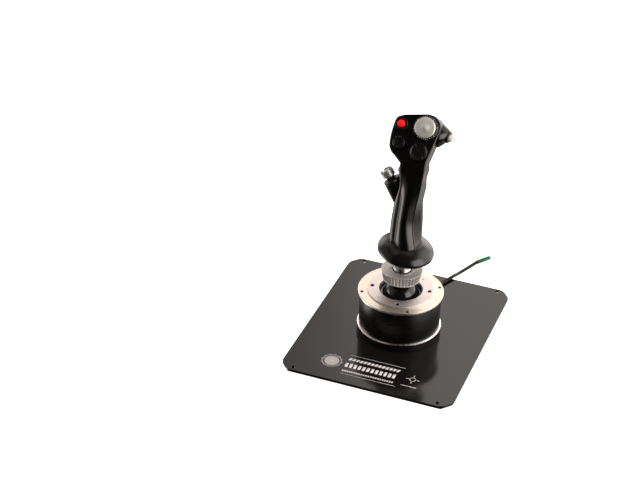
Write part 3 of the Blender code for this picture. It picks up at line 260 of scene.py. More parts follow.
class Nodes:
    """A node tree with short calls for the nodes used here. Lengths in its calls are in metres."""

    def __init__(self, tree, coordinates="Object"):
        self.nodes = tree.nodes
        self.links = tree.links
        self.coordinates = self.nodes.new("ShaderNodeTexCoord").outputs[coordinates]

    def node(self, kind, **values):
        """A new node with some of its properties set."""
        made = self.nodes.new(kind)
        for key, value in values.items():
            setattr(made, key, value)
        return made

    def join(self, source, target):
        """Links a value or a socket to an input."""
        if isinstance(source, bpy.types.NodeSocket):
            self.links.new(source, target)
        else:
            target.default_value = source

    def math(self, operation, a, b=0.0, c=0.0):
        """A Math node's result."""
        made = self.node("ShaderNodeMath", operation=operation)
        for socket, value in zip(made.inputs, (a, b, c)):
            self.join(value, socket)
        return made.outputs[0]

    def axes(self, vector=None):
        """The separate X, Y and Z of a vector, or of the place on the object."""
        made = self.node("ShaderNodeSeparateXYZ")
        self.links.new(vector or self.coordinates, made.inputs[0])
        return made.outputs

    def noise(self, size, detail=3.0, stretch=(1, 1, 1), vector=None):
        """Noise with features of the given size."""
        mapping = self.node("ShaderNodeMapping")
        self.links.new(vector or self.coordinates, mapping.inputs["Vector"])
        mapping.inputs["Scale"].default_value = stretch
        made = self.node("ShaderNodeTexNoise")
        self.links.new(mapping.outputs[0], made.inputs["Vector"])
        made.inputs["Scale"].default_value = 1 / size
        made.inputs["Detail"].default_value = detail
        return made.outputs["Fac"]

    def radius(self):
        """Distance from the object's Z axis."""
        x, y, _ = self.axes()
        return self.math("SQRT", self.math("ADD", self.math("MULTIPLY", x, x), self.math("MULTIPLY", y, y)))

    def rings(self, size):
        """Noise that only changes with distance from the object's Z axis and height, as on a turned face."""
        _, _, z = self.axes()
        made = self.node("ShaderNodeCombineXYZ")
        self.links.new(self.radius(), made.inputs[0])
        self.links.new(z, made.inputs[1])
        return self.noise(size, 4.0, vector=made.outputs[0])

    def spread(self, source, low, high, start=0.3, end=0.7):
        """Maps noise onto a range."""
        made = self.node("ShaderNodeMapRange")
        self.links.new(source, made.inputs["Value"])
        made.inputs["From Min"].default_value = start
        made.inputs["From Max"].default_value = end
        made.inputs["To Min"].default_value = low
        made.inputs["To Max"].default_value = high
        return made.outputs[0]

    def mix(self, amount, first, second):
        """A colour between two colours."""
        made = self.node("ShaderNodeMix", data_type="RGBA")
        self.join(amount, made.inputs["Factor"])
        self.join(first if isinstance(first, bpy.types.NodeSocket) else (*first, 1), made.inputs[6])
        self.join(second if isinstance(second, bpy.types.NodeSocket) else (*second, 1), made.inputs[7])
        return made.outputs[2]

    def window(self, value, low, high, soft):
        """One between two values and nothing outside them, with soft edges."""
        rise = self.spread(value, 0, 1, low - soft / 2, low + soft / 2)
        fall = self.spread(value, 1, 0, high - soft / 2, high + soft / 2)
        return self.math("MULTIPLY", rise, fall)


class Finish(Nodes):
    """A Principled material with its texture nodes."""

    def __init__(self, name, metallic=0.0, specular=0.5):
        self.material = bpy.data.materials.new(name)
        self.material.use_nodes = True
        super().__init__(self.material.node_tree)
        self.shader = self.nodes["Principled BSDF"]
        self.shader.inputs["Metallic"].default_value = metallic
        self.shader.inputs["Specular IOR Level"].default_value = specular
        self.height = None

    def pattern(self, size, kind, stretch=1):
        """Noise of a size in millimetres, in rings round the axis or else with a level of detail."""
        if kind == RINGS:
            return self.rings(size * MM)
        return self.noise(size * MM, kind, (1, 1, stretch))

    def colour(self, source):
        """Sets the base colour."""
        self.join(source, self.shader.inputs["Base Color"])

    def roughness(self, source):
        """Sets the roughness."""
        self.join(source, self.shader.inputs["Roughness"])

    def bump(self, source, depth):
        """Adds relief of the given depth. Later relief lies on top of earlier relief."""
        made = self.node("ShaderNodeBump")
        made.inputs["Strength"].default_value = 1.0
        made.inputs["Distance"].default_value = depth
        self.links.new(source, made.inputs["Height"])
        if self.height:
            self.links.new(self.height, made.inputs["Normal"])
        self.height = made.outputs[0]
        self.links.new(self.height, self.shader.inputs["Normal"])


# Each row: metallic and specular level, the colour's pattern and the two colours that it mixes, the roughness's
# pattern and its two ends, and the relief's pattern and its depth in millimetres. A pattern is a size in
# millimetres, then RINGS or a level of detail, and for some a stretch along the axis.
RINGS = "rings"
FINISH_ROWS = {
    "plate_paint": (0, 0.5, (60, 4), (0.004, 0.0035, 0.0033), (0.0075, 0.0064, 0.0060),
                    (45, 5), 0.11, 0.15, (0.9, 2), 0.010),
    "black_anodised": (0, 0.35, (30, 3), (0.0018, 0.0017, 0.0017), (0.003, 0.0028, 0.0028),
                       (1.6, RINGS), 0.26, 0.32, (0.5, RINGS), 0.0008),
    "bright_turned": (1, 0.5, (3, RINGS), (0.93, 0.86, 0.75), (0.88, 0.80, 0.68),
                      (0.5, RINGS), 0.26, 0.40, (0.35, RINGS), 0.006),
    "polished_edge": (1, 0.5, (6, 3), (0.90, 0.86, 0.80), (0.80, 0.755, 0.69),
                      (3, 3), 0.24, 0.34, (1, 2), 0.002),
    "satin_ring": (1, 0.5, (12, 4), (0.93, 0.85, 0.81), (0.84, 0.765, 0.73),
                   (2, 4), 0.42, 0.54, (0.35, 2), 0.010),
    "collar_metal": (0.65, 0.5, (5, 4), (0.60, 0.59, 0.56), (0.48, 0.47, 0.45),
                     (0.7, RINGS), 0.30, 0.44, (0.4, RINGS), 0.008),
    "machined_steel": (1, 0.5, (4, 3), (0.52, 0.51, 0.49), (0.38, 0.375, 0.36),
                       (1.2, 3, 6), 0.22, 0.36, (0.5, 2, 8), 0.004),
    "dark_steel": (0.6, 0.5, (5, 3), (0.030, 0.029, 0.028), (0.016, 0.015, 0.015),
                   (1.5, 3), 0.25, 0.4, (0.6, 2), 0.004),
    "gloss_black": (0, 0.5, (15, 2), (0.003, 0.0028, 0.0028), (0.006, 0.0055, 0.0055),
                    (20, 4), 0.07, 0.13, (3, 2), 0.003),
    "rest_black": (0, 0.5, (20, 3), (0.0022, 0.002, 0.002), (0.004, 0.0035, 0.0035),
                   (18, 4), 0.19, 0.25, (0.8, 2), 0.003),
    "grip_paint": (0, 0.5, (25, 3), (0.0016, 0.0015, 0.0015), (0.003, 0.0028, 0.0027),
                   (22, 5), 0.19, 0.26, (0.9, 2), 0.003),
    "control_black": (0, 0.5, (4, 3), (0.0022, 0.002, 0.002), (0.004, 0.0037, 0.0037),
                      (1.5, 4), 0.24, 0.40, (0.25, 2), 0.006),
    "soft_rubber": (0, 0.5, (6, 3), (0.010, 0.010, 0.010), (0.018, 0.017, 0.017),
                    (2, 3), 0.62, 0.8, (0.4, 3), 0.012),
    "silver_satin": (0.85, 0.5, (2.5, 3), (0.50, 0.52, 0.505), (0.38, 0.40, 0.39),
                     (1, 3), 0.30, 0.44, (0.3, 2), 0.006),
    "ivory_button": (0, 0.5, (3, 3), (0.62, 0.58, 0.50), (0.50, 0.46, 0.38),
                     (1, 3), 0.32, 0.42, (0.3, 2), 0.004),
    "red_plastic": (0, 0.5, (3, 3), (0.86, 0.002, 0.002), (0.72, 0.001, 0.001),
                    (1.2, 3), 0.36, 0.5, (0.3, 2), 0.005),
    "magnet_plating": (1, 0.5, (2, 2), (0.66, 0.64, 0.60), (0.58, 0.56, 0.53),
                       (1, 2), 0.14, 0.22, (0.6, 2), 0.002),
    "cord_jacket": (0, 0.2, (8, 3), (0.003, 0.003, 0.003), (0.006, 0.0057, 0.0057),
                    (3, 3), 0.45, 0.55, (1.5, 2), 0.006),
}


def patterned(name):
    """One of the finishes in the rows above."""
    metallic, specular, grain, first, second, wear, smooth, rough, relief, depth = FINISH_ROWS[name]
    made = Finish(name, metallic, specular)
    made.colour(made.mix(made.pattern(*grain), first, second))
    made.roughness(made.spread(made.pattern(*wear), smooth, rough))
    made.bump(made.pattern(*relief), depth * MM)
    return made.material


def silver_grain():
    """Matt silver paint over a cap with fine turned rings and a pebbled grain."""
    made = Finish("silver_grain", 0.6)
    speckle = made.noise(0.55 * MM, 4)
    made.colour(made.mix(made.spread(speckle, 0, 1), (0.38, 0.38, 0.335), (0.68, 0.68, 0.615)))
    made.roughness(made.spread(speckle, 0.38, 0.52))
    made.bump(made.rings(0.45 * MM), 0.05 * MM)
    made.bump(speckle, 0.025 * MM)
    return made.material


def white_print():
    """Thin screen-printed ink, worn a little unevenly."""
    made = Finish("white_print")
    made.colour(made.mix(made.spread(made.noise(1.1 * MM, 4), 0, 1), (0.78, 0.75, 0.73), (0.55, 0.53, 0.51)))
    made.roughness(made.spread(made.noise(2 * MM, 2), 0.5, 0.62))
    made.bump(made.noise(0.5 * MM, 2), 0.003 * MM)
    return made.material


def circuit_board():
    """Green solder mask with copper-coloured pads in rows."""
    made = Finish("circuit_board")
    x, y, _ = made.axes()
    across, along = (made.math("SINE", made.math("MULTIPLY", axis, math.tau / PAD_PITCH)) for axis in (x, y))
    pads = made.math("GREATER_THAN", made.math("MULTIPLY", across, along), 0.72)
    board = made.mix(made.noise(5 * MM, 4), (0.008, 0.07, 0.025), (0.012, 0.10, 0.035))
    made.colour(made.mix(pads, board, (0.55, 0.40, 0.12)))
    made.roughness(made.spread(made.noise(2 * MM, 3), 0.28, 0.42))
    made.bump(pads, 0.03 * MM)
    return made.material


def green_cap():
    """Moulded green plastic, darker at its open end."""
    made = Finish("green_cap", specular=0.2)
    _, _, z = made.axes()
    colour = made.mix(made.spread(z, 0, 1, 4 * MM, 20 * MM), (0.0, 0.09, 0.012), (0.0, 0.17, 0.085))
    made.colour(made.mix(made.spread(made.noise(3 * MM, 3), 0, 0.2), colour, (0.0, 0.05, 0.03)))
    made.roughness(made.spread(made.noise(2 * MM, 3), 0.32, 0.42))
    made.bump(made.noise(1.2 * MM, 2), 0.004 * MM)
    return made.material


# The finish of each material slot in the record
FINISHES = {
    "plate_black": patterned("plate_paint"),
    "barrel_black": patterned("black_anodised"),
    "turned_aluminium": patterned("bright_turned"),
    "satin_aluminium": patterned("satin_ring"),
    "steel": patterned("machined_steel"),
    "gloss_black": patterned("gloss_black"),
    "grip_black": patterned("grip_paint"),
    "rubber": patterned("soft_rubber"),
    "hat_silver": silver_grain(),
    "button_red": patterned("red_plastic"),
    "board_green": circuit_board(),
    "magnet": patterned("magnet_plating"),
    "cord_black": patterned("cord_jacket"),
    "cap_green": green_cap(),
}
COLLAR = patterned("collar_metal")
DARK_STEEL = patterned("dark_steel")
REST_BLACK = patterned("rest_black")
CONTROL_BLACK = patterned("control_black")
SILVER_SATIN = patterned("silver_satin")
IVORY = patterned("ivory_button")
PRINT = white_print()
POLISHED_EDGE = patterned("polished_edge")


# ---------------------------------------------------------------- building

def add_object(name, data):
    """A new object in the scene."""
    made = bpy.data.objects.new(name, data)
    bpy.context.scene.collection.objects.link(made)
    return made


def finish_piece(name, mesh, body, slot, matrix=None, replaces=(), material=None, sharp=30, weighted=False):
    """Makes a mesh into a piece that rides on a body and stands for some CAD nodes."""
    piece = add_object(name, mesh)
    piece.matrix_world = matrix or Matrix()
    if not mesh.materials:
        mesh.materials.append(material or FINISHES[slot])
    mesh.shade_smooth()
    mesh.set_sharp_from_angle(angle=math.radians(sharp))
    if weighted:
        modifier = piece.modifiers.new("flat_faces", "WEIGHTED_NORMAL")
        modifier.keep_sharp = True
    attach(piece, body)
    if replaces:
        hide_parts(*replaces)
    return piece


def shape_mesh(name, shape):
    """Turns a bmesh into a mesh and frees it."""
    mesh = bpy.data.meshes.new(name)
    shape.to_mesh(mesh)
    shape.free()
    return mesh


def corner_arc(before, here, after, radius, steps, share, straight=math.pi):
    """The arc that rounds a corner, on at most a share of the shorter side. Past the straight angle it is one
    point."""
    back = before - here
    ahead = after - here
    room = share * min(back.length, ahead.length)
    back.normalize()
    ahead.normalize()
    half = 0.5 * math.acos(max(-1, min(1, back.dot(ahead))))
    if half > straight:
        return [here]
    setback = min(radius / math.tan(half), room)
    centre = here + (back + ahead).normalized() * (setback / math.cos(half))
    start = here + back * setback - centre
    end = here + ahead * setback - centre
    turn = math.atan2(start.x * end.y - start.y * end.x, start.dot(end))
    return [centre + Matrix.Rotation(turn * k / steps, 2) @ start for k in range(steps + 1)]


def fillet(points, radius, steps=3, closed=True):
    """Rounds a profile's corners, given as (radius, height), except those on the axis."""
    result = []
    count = len(points)
    for i, point in enumerate(points):
        here = Vector(point)
        if not closed and i in (0, count - 1) or here.x <= 0:
            result.append(here)
            continue
        before, after = Vector(points[i - 1]), Vector(points[(i + 1) % count])
        result += corner_arc(before, here, after, radius, steps, 0.45, math.radians(85))
    return result


def turned_mesh(name, profile, segments=96, wave=None):
    """A turned solid. The profile runs down the outer side from the top, in millimetres. A wave function may
    change a point's radius with its angle."""
    shape = bmesh.new()
    rings = []
    for radius, height in profile:
        if radius <= 1e-6:
            rings.append([shape.verts.new((0, 0, height * MM))])
            continue
        ring = []
        for k in range(segments):
            angle = math.tau * k / segments
            here = wave(radius, height, angle) if wave else radius
            ring.append(shape.verts.new((here * MM * math.cos(angle), here * MM * math.sin(angle), height * MM)))
        rings.append(ring)
    pairs = list(zip(rings, rings[1:]))
    if len(rings[0]) > 1 and len(rings[-1]) > 1:
        pairs.append((rings[-1], rings[0]))
    for upper, lower in pairs:
        for k in range(segments):
            n = (k + 1) % segments
            if len(upper) > 1 and len(lower) > 1:
                shape.faces.new((upper[k], lower[k], lower[n], upper[n]))
            elif len(lower) > 1:
                shape.faces.new((upper[0], lower[k], lower[n]))
            elif len(upper) > 1:
                shape.faces.new((upper[k], lower[0], upper[n]))
    return shape_mesh(name, shape)


def turned_piece(name, profile, body, slot, matrix=None, replaces=(), material=None, segments=96, soft=0.3,
                 wave=None, cuts=()):
    """A turned piece with rounded edges, and with some cutters taken out of it."""
    closed = profile[0][0] > 0
    mesh = turned_mesh(name, fillet(profile, soft, 3, closed) if soft else profile, segments, wave)
    if cuts:
        mesh = cut_mesh(mesh, matrix or Matrix(), cuts)
    return finish_piece(name, mesh, body, slot, matrix, replaces, material, weighted=bool(cuts))


def box_mesh(name, size, centre=(0, 0, 0)):
    """A box."""
    shape = bmesh.new()
    bmesh.ops.create_cube(shape, size=1)
    bmesh.ops.scale(shape, vec=size, verts=shape.verts)
    bmesh.ops.translate(shape, vec=centre, verts=shape.verts)
    return shape_mesh(name, shape)


def prism_mesh(name, radius, low, high, sides=6):
    """A regular prism along Z."""
    shape = bmesh.new()
    bmesh.ops.create_cone(shape, cap_ends=True, segments=sides, radius1=radius, radius2=radius, depth=high - low)
    bmesh.ops.translate(shape, vec=(0, 0, (low + high) / 2), verts=shape.verts)
    return shape_mesh(name, shape)


def combined_mesh(mesh, matrix, others, operation):
    """The mesh, at its matrix, after a Boolean with each (mesh, matrix) of the others."""
    body = add_object("boolean_body", mesh)
    body.matrix_world = matrix
    helpers = []
    for i, (other, place) in enumerate(others):
        helper = add_object(f"boolean_{i}", other)
        helper.matrix_world = place
        helpers.append(helper)
        modifier = body.modifiers.new(f"boolean_{i}", "BOOLEAN")
        modifier.operation = operation
        modifier.solver = "EXACT"
        modifier.object = helper
    bpy.context.view_layer.update()
    graph = bpy.context.evaluated_depsgraph_get()
    made = bpy.data.meshes.new_from_object(body.evaluated_get(graph))
    for old in (body, *helpers):
        bpy.data.objects.remove(old, do_unlink=True)
    return made


def cut_mesh(mesh, matrix, cutters):
    """The mesh with the cutters taken out."""
    return combined_mesh(mesh, matrix, cutters, "DIFFERENCE")


def loft_mesh(name, rings):
    """A closed skin over rings of equally many points, with flat ends."""
    shape = bmesh.new()
    rows = [[shape.verts.new(point) for point in ring] for ring in rings]
    count = len(rows[0])
    for lower, upper in zip(rows, rows[1:]):
        for k in range(count):
            n = (k + 1) % count
            shape.faces.new((lower[k], lower[n], upper[n], upper[k]))
    shape.faces.new(list(reversed(rows[0])))
    shape.faces.new(rows[-1])
    return shape_mesh(name, shape)


def pointing(location, direction, right=Vector((0, 1, 0))):
    """A matrix at the location whose Z looks along the direction."""
    z_axis = direction.normalized()
    x_axis = right.cross(z_axis).normalized()
    y_axis = z_axis.cross(x_axis)
    matrix = Matrix((x_axis, y_axis, z_axis)).transposed().to_4x4()
    matrix.translation = location
    return matrix


# ---------------------------------------------------------------- camera, floor and light

def view_axes():
    """The camera's right, up and backward directions."""
    level = math.cos(CAMERA_ELEVATION)
    back = Vector((math.sin(CAMERA_AZIMUTH) * level, -math.cos(CAMERA_AZIMUTH) * level,
                   math.sin(CAMERA_ELEVATION)))
    right = Vector((0, 0, 1)).cross(back).normalized()
    up = back.cross(right)
    cos_roll = math.cos(CAMERA_ROLL)
    sin_roll = math.sin(CAMERA_ROLL)
    return right * cos_roll + up * sin_roll, up * cos_roll - right * sin_roll, back


def make_camera():
    """The camera, at the photograph's angle."""
    right, up, back = view_axes()
    data = bpy.data.cameras.new("camera")
    data.sensor_width = SENSOR_WIDTH
    data.lens = CAMERA_LENS
    camera = add_object("camera", data)
    matrix = Matrix((right, up, back)).transposed().to_4x4()
    matrix.translation = (back * CAMERA_DISTANCE + right * AIM_RIGHT + up * AIM_UP
                          + Vector((0, 0, AIM_HEIGHT)))
    camera.matrix_world = matrix
    bpy.context.scene.camera = camera


def make_floor():
    """A plain white floor that glows evenly, with painted shade under the plate, where it has no glow and a
    near-black colour. It is hidden from reflections and from bounced light, which come from the studio's panels
    alone."""
    shape = bmesh.new()
    bmesh.ops.create_grid(shape, x_segments=1, y_segments=1, size=FLOOR_HALF)
    floor = add_object("floor", shape_mesh("floor", shape))
    floor.location.z = -FLOOR_DROP
    white = Finish("floor", specular=0.0)
    x, y, _ = white.axes()
    # How far each point lies outside the plate's outline, cut corners included; this sets where the painted shade
    # falls.
    beyond_x = white.math("SUBTRACT", white.math("ABSOLUTE", x), PLATE_WIDTH / 2)
    beyond_y = white.math("SUBTRACT", white.math("ABSOLUTE", y), PLATE_DEPTH / 2)
    beyond = white.math("MAXIMUM", beyond_x, beyond_y)
    slant = math.atan2(PLATE_CUT_X, PLATE_CUT_Y)
    corner = white.math("MULTIPLY", beyond_x, math.cos(slant))
    corner = white.math("MULTIPLY_ADD", white.math("ADD", beyond_y, PLATE_CUT_Y), math.sin(slant), corner)
    beyond = white.math("MAXIMUM", beyond, corner)
    # Painted shade under the plate: inside its outline the floor has no glow and a near-black colour, fading out
    # just inside the edge.
    white.join(white.spread(beyond, 0, FLOOR_GLOW, *FLOOR_SHADE_EDGE), white.shader.inputs["Emission Strength"])
    white.colour(white.mix(white.spread(beyond, 0, 1, *FLOOR_SHADE_EDGE), (0.02, 0.02, 0.02), (0.9, 0.9, 0.9)))
    white.roughness(0.9)
    white.shader.inputs["Emission Color"].default_value = (1, 1, 1, 1)
    floor.data.materials.append(white.material)
    floor.visible_glossy = False
    floor.visible_diffuse = False


def make_light():
    """Soft panels round the object as seen in its surfaces, a pale wall behind it, and one soft key light."""
    world = bpy.data.worlds.new("studio")
    bpy.context.scene.world = world
    world.use_nodes = True
    studio = Nodes(world.node_tree, "Generated")
    toward = Vector((math.sin(CAMERA_AZIMUTH), -math.cos(CAMERA_AZIMUTH), 0))
    aside = Vector((math.cos(CAMERA_AZIMUTH), math.sin(CAMERA_AZIMUTH), 0))
    parts = []
    for direction in (toward, aside):
        dot = studio.node("ShaderNodeVectorMath", operation="DOT_PRODUCT")
        studio.join(studio.coordinates, dot.inputs[0])
        studio.join(direction, dot.inputs[1])
        parts.append(dot.outputs["Value"])
    away = studio.math("MULTIPLY", parts[0], -1)
    bearings = {"front": studio.math("DEGREES", studio.math("ARCTAN2", parts[1], parts[0])),
                "rear": studio.math("DEGREES", studio.math("ARCTAN2", parts[1], away))}
    elevation = studio.math("DEGREES", studio.math("ARCSINE", studio.axes()[2]))
    light = ROOM_STRENGTH
    for side, left, right, low, high, soft, strength in LIGHT_PANELS:
        across = studio.window(bearings[side], left, right, soft)
        up = studio.window(elevation, low, high, soft)
        light = studio.math("MULTIPLY_ADD", studio.math("MULTIPLY", across, up), strength, light)
    tint = studio.node("ShaderNodeVectorMath", operation="SCALE")
    studio.join(LIGHT_COLOUR, tint.inputs[0])
    studio.join(light, tint.inputs["Scale"])
    path = studio.node("ShaderNodeLightPath")
    seen = studio.mix(path.outputs["Is Camera Ray"], tint.outputs[0], WALL_COLOUR)
    studio.join(seen, studio.nodes["Background"].inputs["Color"])
    bpy.context.scene.view_settings.view_transform = "Standard"

    data = bpy.data.lights.new("key", "AREA")
    data.shape = "RECTANGLE"
    data.size = KEY_SIZE
    data.size_y = KEY_SIZE
    data.energy = KEY_POWER
    data.color = KEY_COLOUR
    key = add_object("key", data)
    spot = toward * KEY_FORWARD - aside * KEY_LEFT + Vector((0, 0, KEY_HEIGHT))
    key.matrix_world = pointing(spot, spot - Vector((0, 0, 0.2)), Vector((0, 0, 1)))
    key.visible_camera = False
    key.visible_glossy = False


# ---------------------------------------------------------------- cord

def catmull_rom(p0, p1, p2, p3, steps):
    """Points of a Catmull-Rom curve from the second point up to the third, which is left out."""
    points = []
    for k in range(steps):
        t = k / steps
        points.append(0.5 * ((2 * p1) + (p2 - p0) * t + (2 * p0 - 5 * p1 + 4 * p2 - p3) * t ** 2
                             + (3 * p1 - p0 - 3 * p2 + p3) * t ** 3))
    return points


def smooth_points(route, spacing):
    """Evenly spaced points along a curve through the route's points, which are in millimetres."""
    knots = [Vector(point) * MM for point in route]
    ring = [knots[0] * 2 - knots[1]] + knots + [knots[-1] * 2 - knots[-2]]
    dense = []
    for i in range(1, len(ring) - 2):
        dense += catmull_rom(*ring[i - 1:i + 3], 20)
    dense.append(knots[-1])
    lengths = [0]
    for a, b in zip(dense, dense[1:]):
        lengths.append(lengths[-1] + (b - a).length)
    count = max(2, round(lengths[-1] / spacing))
    points = []
    for k in range(count + 1):
        target = lengths[-1] * k / count
        i = max(1, next((j for j, s in enumerate(lengths) if s >= target - 1e-12), len(lengths) - 1))
        span = lengths[i] - lengths[i - 1]
        points.append(dense[i - 1].lerp(dense[i], (target - lengths[i - 1]) / span))
    return points


def round_axis(radius, angle, height):
    """A point at a radius, an angle and a height round the coil's axis."""
    return COIL_CENTRE + Vector((radius * math.cos(angle), radius * math.sin(angle), height))


def ease(t):
    """A smooth step from 0 to 1."""
    t = max(0, min(1, t))
    return t * t * (3 - 2 * t)


def coil_points():
    """The stored coil's centreline: three columns of three turns, wound from the outside inwards. Each turn
    moves to its next place a little earlier than the one before it, so that turns lie side by side."""
    step = 2 * CORD_RADIUS
    outer = COIL_MIDDLE_RADIUS + step
    low = COIL_BOTTOM + CORD_RADIUS
    places = []
    for column in range(3):
        heights = (0, 1, 2) if column % 2 == 0 else (2, 1, 0)
        places += [(outer - column * step, low + k * step) for k in heights]
    moves = list(zip(places, places[1:]))
    start = Vector(LEAD_ROUTE[-1]) * MM - COIL_CENTRE
    entry = math.atan2(start.y, start.x)
    first_change = entry + math.tau + COIL_FIRST_CHANGE - COIL_CHANGE_WIDTH * 0.5
    changes = [first_change + k * (math.tau - COIL_CHANGE_LEAD) for k in range(len(moves))]
    leave = entry + math.tau * 8 + COIL_LAST_TURN
    points = []
    angle = entry + COIL_FIRST_POINT
    while angle < leave:
        done = [ease((angle - change) / COIL_CHANGE_WIDTH) for change in changes]
        radius = places[0][0] + sum((b[0] - a[0]) * s for (a, b), s in zip(moves, done))
        height = places[0][1] + sum((b[1] - a[1]) * s for (a, b), s in zip(moves, done))
        settle = 1 - ease((angle - entry) / COIL_SETTLE)
        radius += settle * (math.hypot(start.x, start.y) - places[0][0])
        height += settle * (start.z - places[0][1])
        points.append(round_axis(radius, angle, height))
        angle += COIL_STEP
    return points


def exit_over(points):
    """The stretch that climbs from the coil's last turn, passes over its rim and meets the run."""
    last = points[-1] - COIL_CENTRE
    first = Vector(RUN_ROUTE[0]) * MM - COIL_CENTRE
    start_angle = math.atan2(last.y, last.x)
    end_angle = math.atan2(first.y, first.x)
    while end_angle < start_angle + math.radians(60):
        end_angle += math.tau
    start_radius = math.hypot(last.x, last.y)
    end_radius = math.hypot(first.x, first.y)
    top = COIL_TOP + CORD_RADIUS
    made = []
    count = 9
    for k in range(1, count):
        t = k / count
        angle = start_angle + (end_angle - start_angle) * t
        radius = start_radius + (end_radius - start_radius) * ease((t - 0.3) / 0.7)
        height = last.z + (top - last.z) * ease(t / 0.4)
        height += (first.z - height) * ease((t - 0.72) / 0.42)
        made.append(round_axis(radius, angle, height))
    return made


def make_cord():
    """The lead out of the strain relief, the coil behind the base, and the run to the plug."""
    coil = coil_points()
    points = smooth_points(LEAD_ROUTE, 6 * MM) + coil + exit_over(coil) + smooth_points(RUN_ROUTE, 7 * MM)
    curve = bpy.data.curves.new("cord", "CURVE")
    curve.dimensions = "3D"
    curve.bevel_depth = CORD_RADIUS
    curve.bevel_resolution = 5
    curve.resolution_u = 3
    curve.use_fill_caps = True
    spline = curve.splines.new("BEZIER")
    spline.bezier_points.add(len(points) - 1)
    for point, spot in zip(spline.bezier_points, points):
        point.co = spot
        point.handle_left_type = "AUTO"
        point.handle_right_type = "AUTO"
    curve.materials.append(FINISHES["cord_black"])
    cord = add_object("cord", curve)
    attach(cord, "base")
    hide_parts("cord_lead", "cord_coil", "cord_run")
    return cord, points


make_camera()
make_floor()
make_light()
cord, cord_line = make_cord()


# ---------------------------------------------------------------- base

def exit_direction():
    """The way the cable leaves the base, level and away from its axis."""
    return Vector((math.cos(CORD_EXIT_ANGLE), math.sin(CORD_EXIT_ANGLE), 0))


def exit_frame():
    """A frame on the base's axis whose Z looks out along the cable's exit."""
    return pointing(Vector((0, 0, CORD_EXIT_HEIGHT)), exit_direction(), Vector((0, 0, 1)))


def round_corners(corners, radii, steps):
    """The 2D corners, each replaced by an arc of its radius."""
    points = []
    for i, corner in enumerate(corners):
        points += corner_arc(corners[i - 1], corner, corners[(i + 1) % len(corners)], radii[i], steps, 0.46)
    return points


def slab_mesh(name, points, low, high):
    """A flat outline as a solid between two heights."""
    shape = bmesh.new()
    floor = [shape.verts.new((p[0], p[1], low)) for p in points]
    roof = [shape.verts.new((p[0], p[1], high)) for p in points]
    shape.faces.new(list(reversed(floor)))
    shape.faces.new(roof)
    count = len(points)
    for k in range(count):
        n = (k + 1) % count
        shape.faces.new((floor[k], floor[n], roof[n], roof[k]))
    bmesh.ops.recalc_face_normals(shape, faces=shape.faces)
    return shape_mesh(name, shape)


def round_edges(piece, width, segments=3, angle=40):
    """Rounds a piece's edges and keeps its flat faces flat."""
    modifier = piece.modifiers.new("round", "BEVEL")
    modifier.width = width
    modifier.segments = segments
    modifier.limit_method = "ANGLE"
    modifier.angle_limit = math.radians(angle)
    modifier.harden_normals = True
    return piece


def make_plate():
    """The steel plate with its cut corners, four holes and softened edges."""
    x = PLATE_WIDTH / 2
    y = PLATE_DEPTH / 2
    corners = [Vector((x, y - PLATE_CUT_Y)), Vector((x - PLATE_CUT_X, y))]
    corners += [Vector((-p.x, p.y)) for p in reversed(corners)]
    corners += [Vector((p.x, -p.y)) for p in reversed(corners)]
    outline = round_corners(corners, [PLATE_CORNER_RADIUS] * len(corners), 10)
    holes = []
    for side_x in (-1, 1):
        for side_y in (-1, 1):
            spot = Matrix.Translation((side_x * PLATE_HOLE_X, side_y * PLATE_HOLE_Y, 0))
            holes.append((prism_mesh("plate_hole", PLATE_HOLE_RADIUS, -5 * MM, 12 * MM, 32), spot))
    mesh = cut_mesh(slab_mesh("plate", outline, PLATE_BOTTOM, PLATE_TOP), Matrix(), holes)
    plate = finish_piece("plate", mesh, "base", "plate_black", replaces=["base_plate"])
    round_edges(plate, 0.45 * MM, 2, 60)


def add_patch(shape, points, height):
    """One printed patch of ink."""
    shape.faces.new([shape.verts.new((x * MM, y * MM, height)) for x, y in points])


def add_bar(shape, x, y, width, depth, slant, height):
    """A printed bar, from its left end."""
    low = y - depth / 2
    high = y + depth / 2
    add_patch(shape, ((x, low), (x + width, low), (x + width + slant, high), (x + slant, high)), height)


def add_band(shape, centre, inner, outer, start, end, height, steps=24):
    """A printed arc between two radii."""
    for k in range(steps):
        first = math.radians(start + (end - start) * k / steps)
        second = math.radians(start + (end - start) * (k + 1) / steps)
        add_patch(shape, [(centre[0] + r * math.cos(a), centre[1] + r * math.sin(a))
                          for r, a in ((inner, first), (outer, first), (outer, second), (inner, second))], height)


def ink_piece(name, shape, body, frame=None):
    """Printed patches as a piece with the thickness of ink."""
    piece = finish_piece(name, shape_mesh(name, shape), body, "hat_silver", frame, material=PRINT)
    solid = piece.modifiers.new("ink", "SOLIDIFY")
    solid.thickness = INK_THICKNESS
    solid.offset = -1


def make_print():
    """Plain printed marks near the plate's front edge: a dial, two rules, three rows of bars and a reticle."""
    shape = bmesh.new()
    height = PLATE_TOP + INK_THICKNESS
    for inner, outer in ((0, 2.2), (3.2, 4.6), (5.6, 7.0), (8.0, 9.2)):
        add_band(shape, DIAL_PLACE, inner + 0.01, outer, 0, 360, height)
    for k in range(36):
        reach = 14.0 if k % 3 == 0 else 12.8
        add_band(shape, DIAL_PLACE, 11.2, reach, k * 10 - 1.6, k * 10 + 1.6, height, 1)
    for y in (-79.0, -119.0):
        add_bar(shape, PRINT_LEFT, y, 72, 0.45, 0, height)
    rows = ((-87.5, 5.0, 14, 3.3, 1.6), (-100.3, 8.4, 12, 3.5, 0.0), (-112.6, 2.8, 22, 1.9, 0.0))
    for y, depth, count, width, slant in rows:
        for k in range(count):
            add_bar(shape, PRINT_LEFT + k * (68 / count), y, width, depth, slant, height)
    add_band(shape, RETICLE_PLACE, 3.4, 4.0, 0, 360, height)
    for angle in range(0, 360, 90):
        add_band(shape, RETICLE_PLACE, 4.8, 8.6, angle - 3.2, angle + 3.2, height, 1)
    add_bar(shape, 41, -112.6, 20, 0.9, 0, height)
    ink_piece("plate_print", shape, "base")


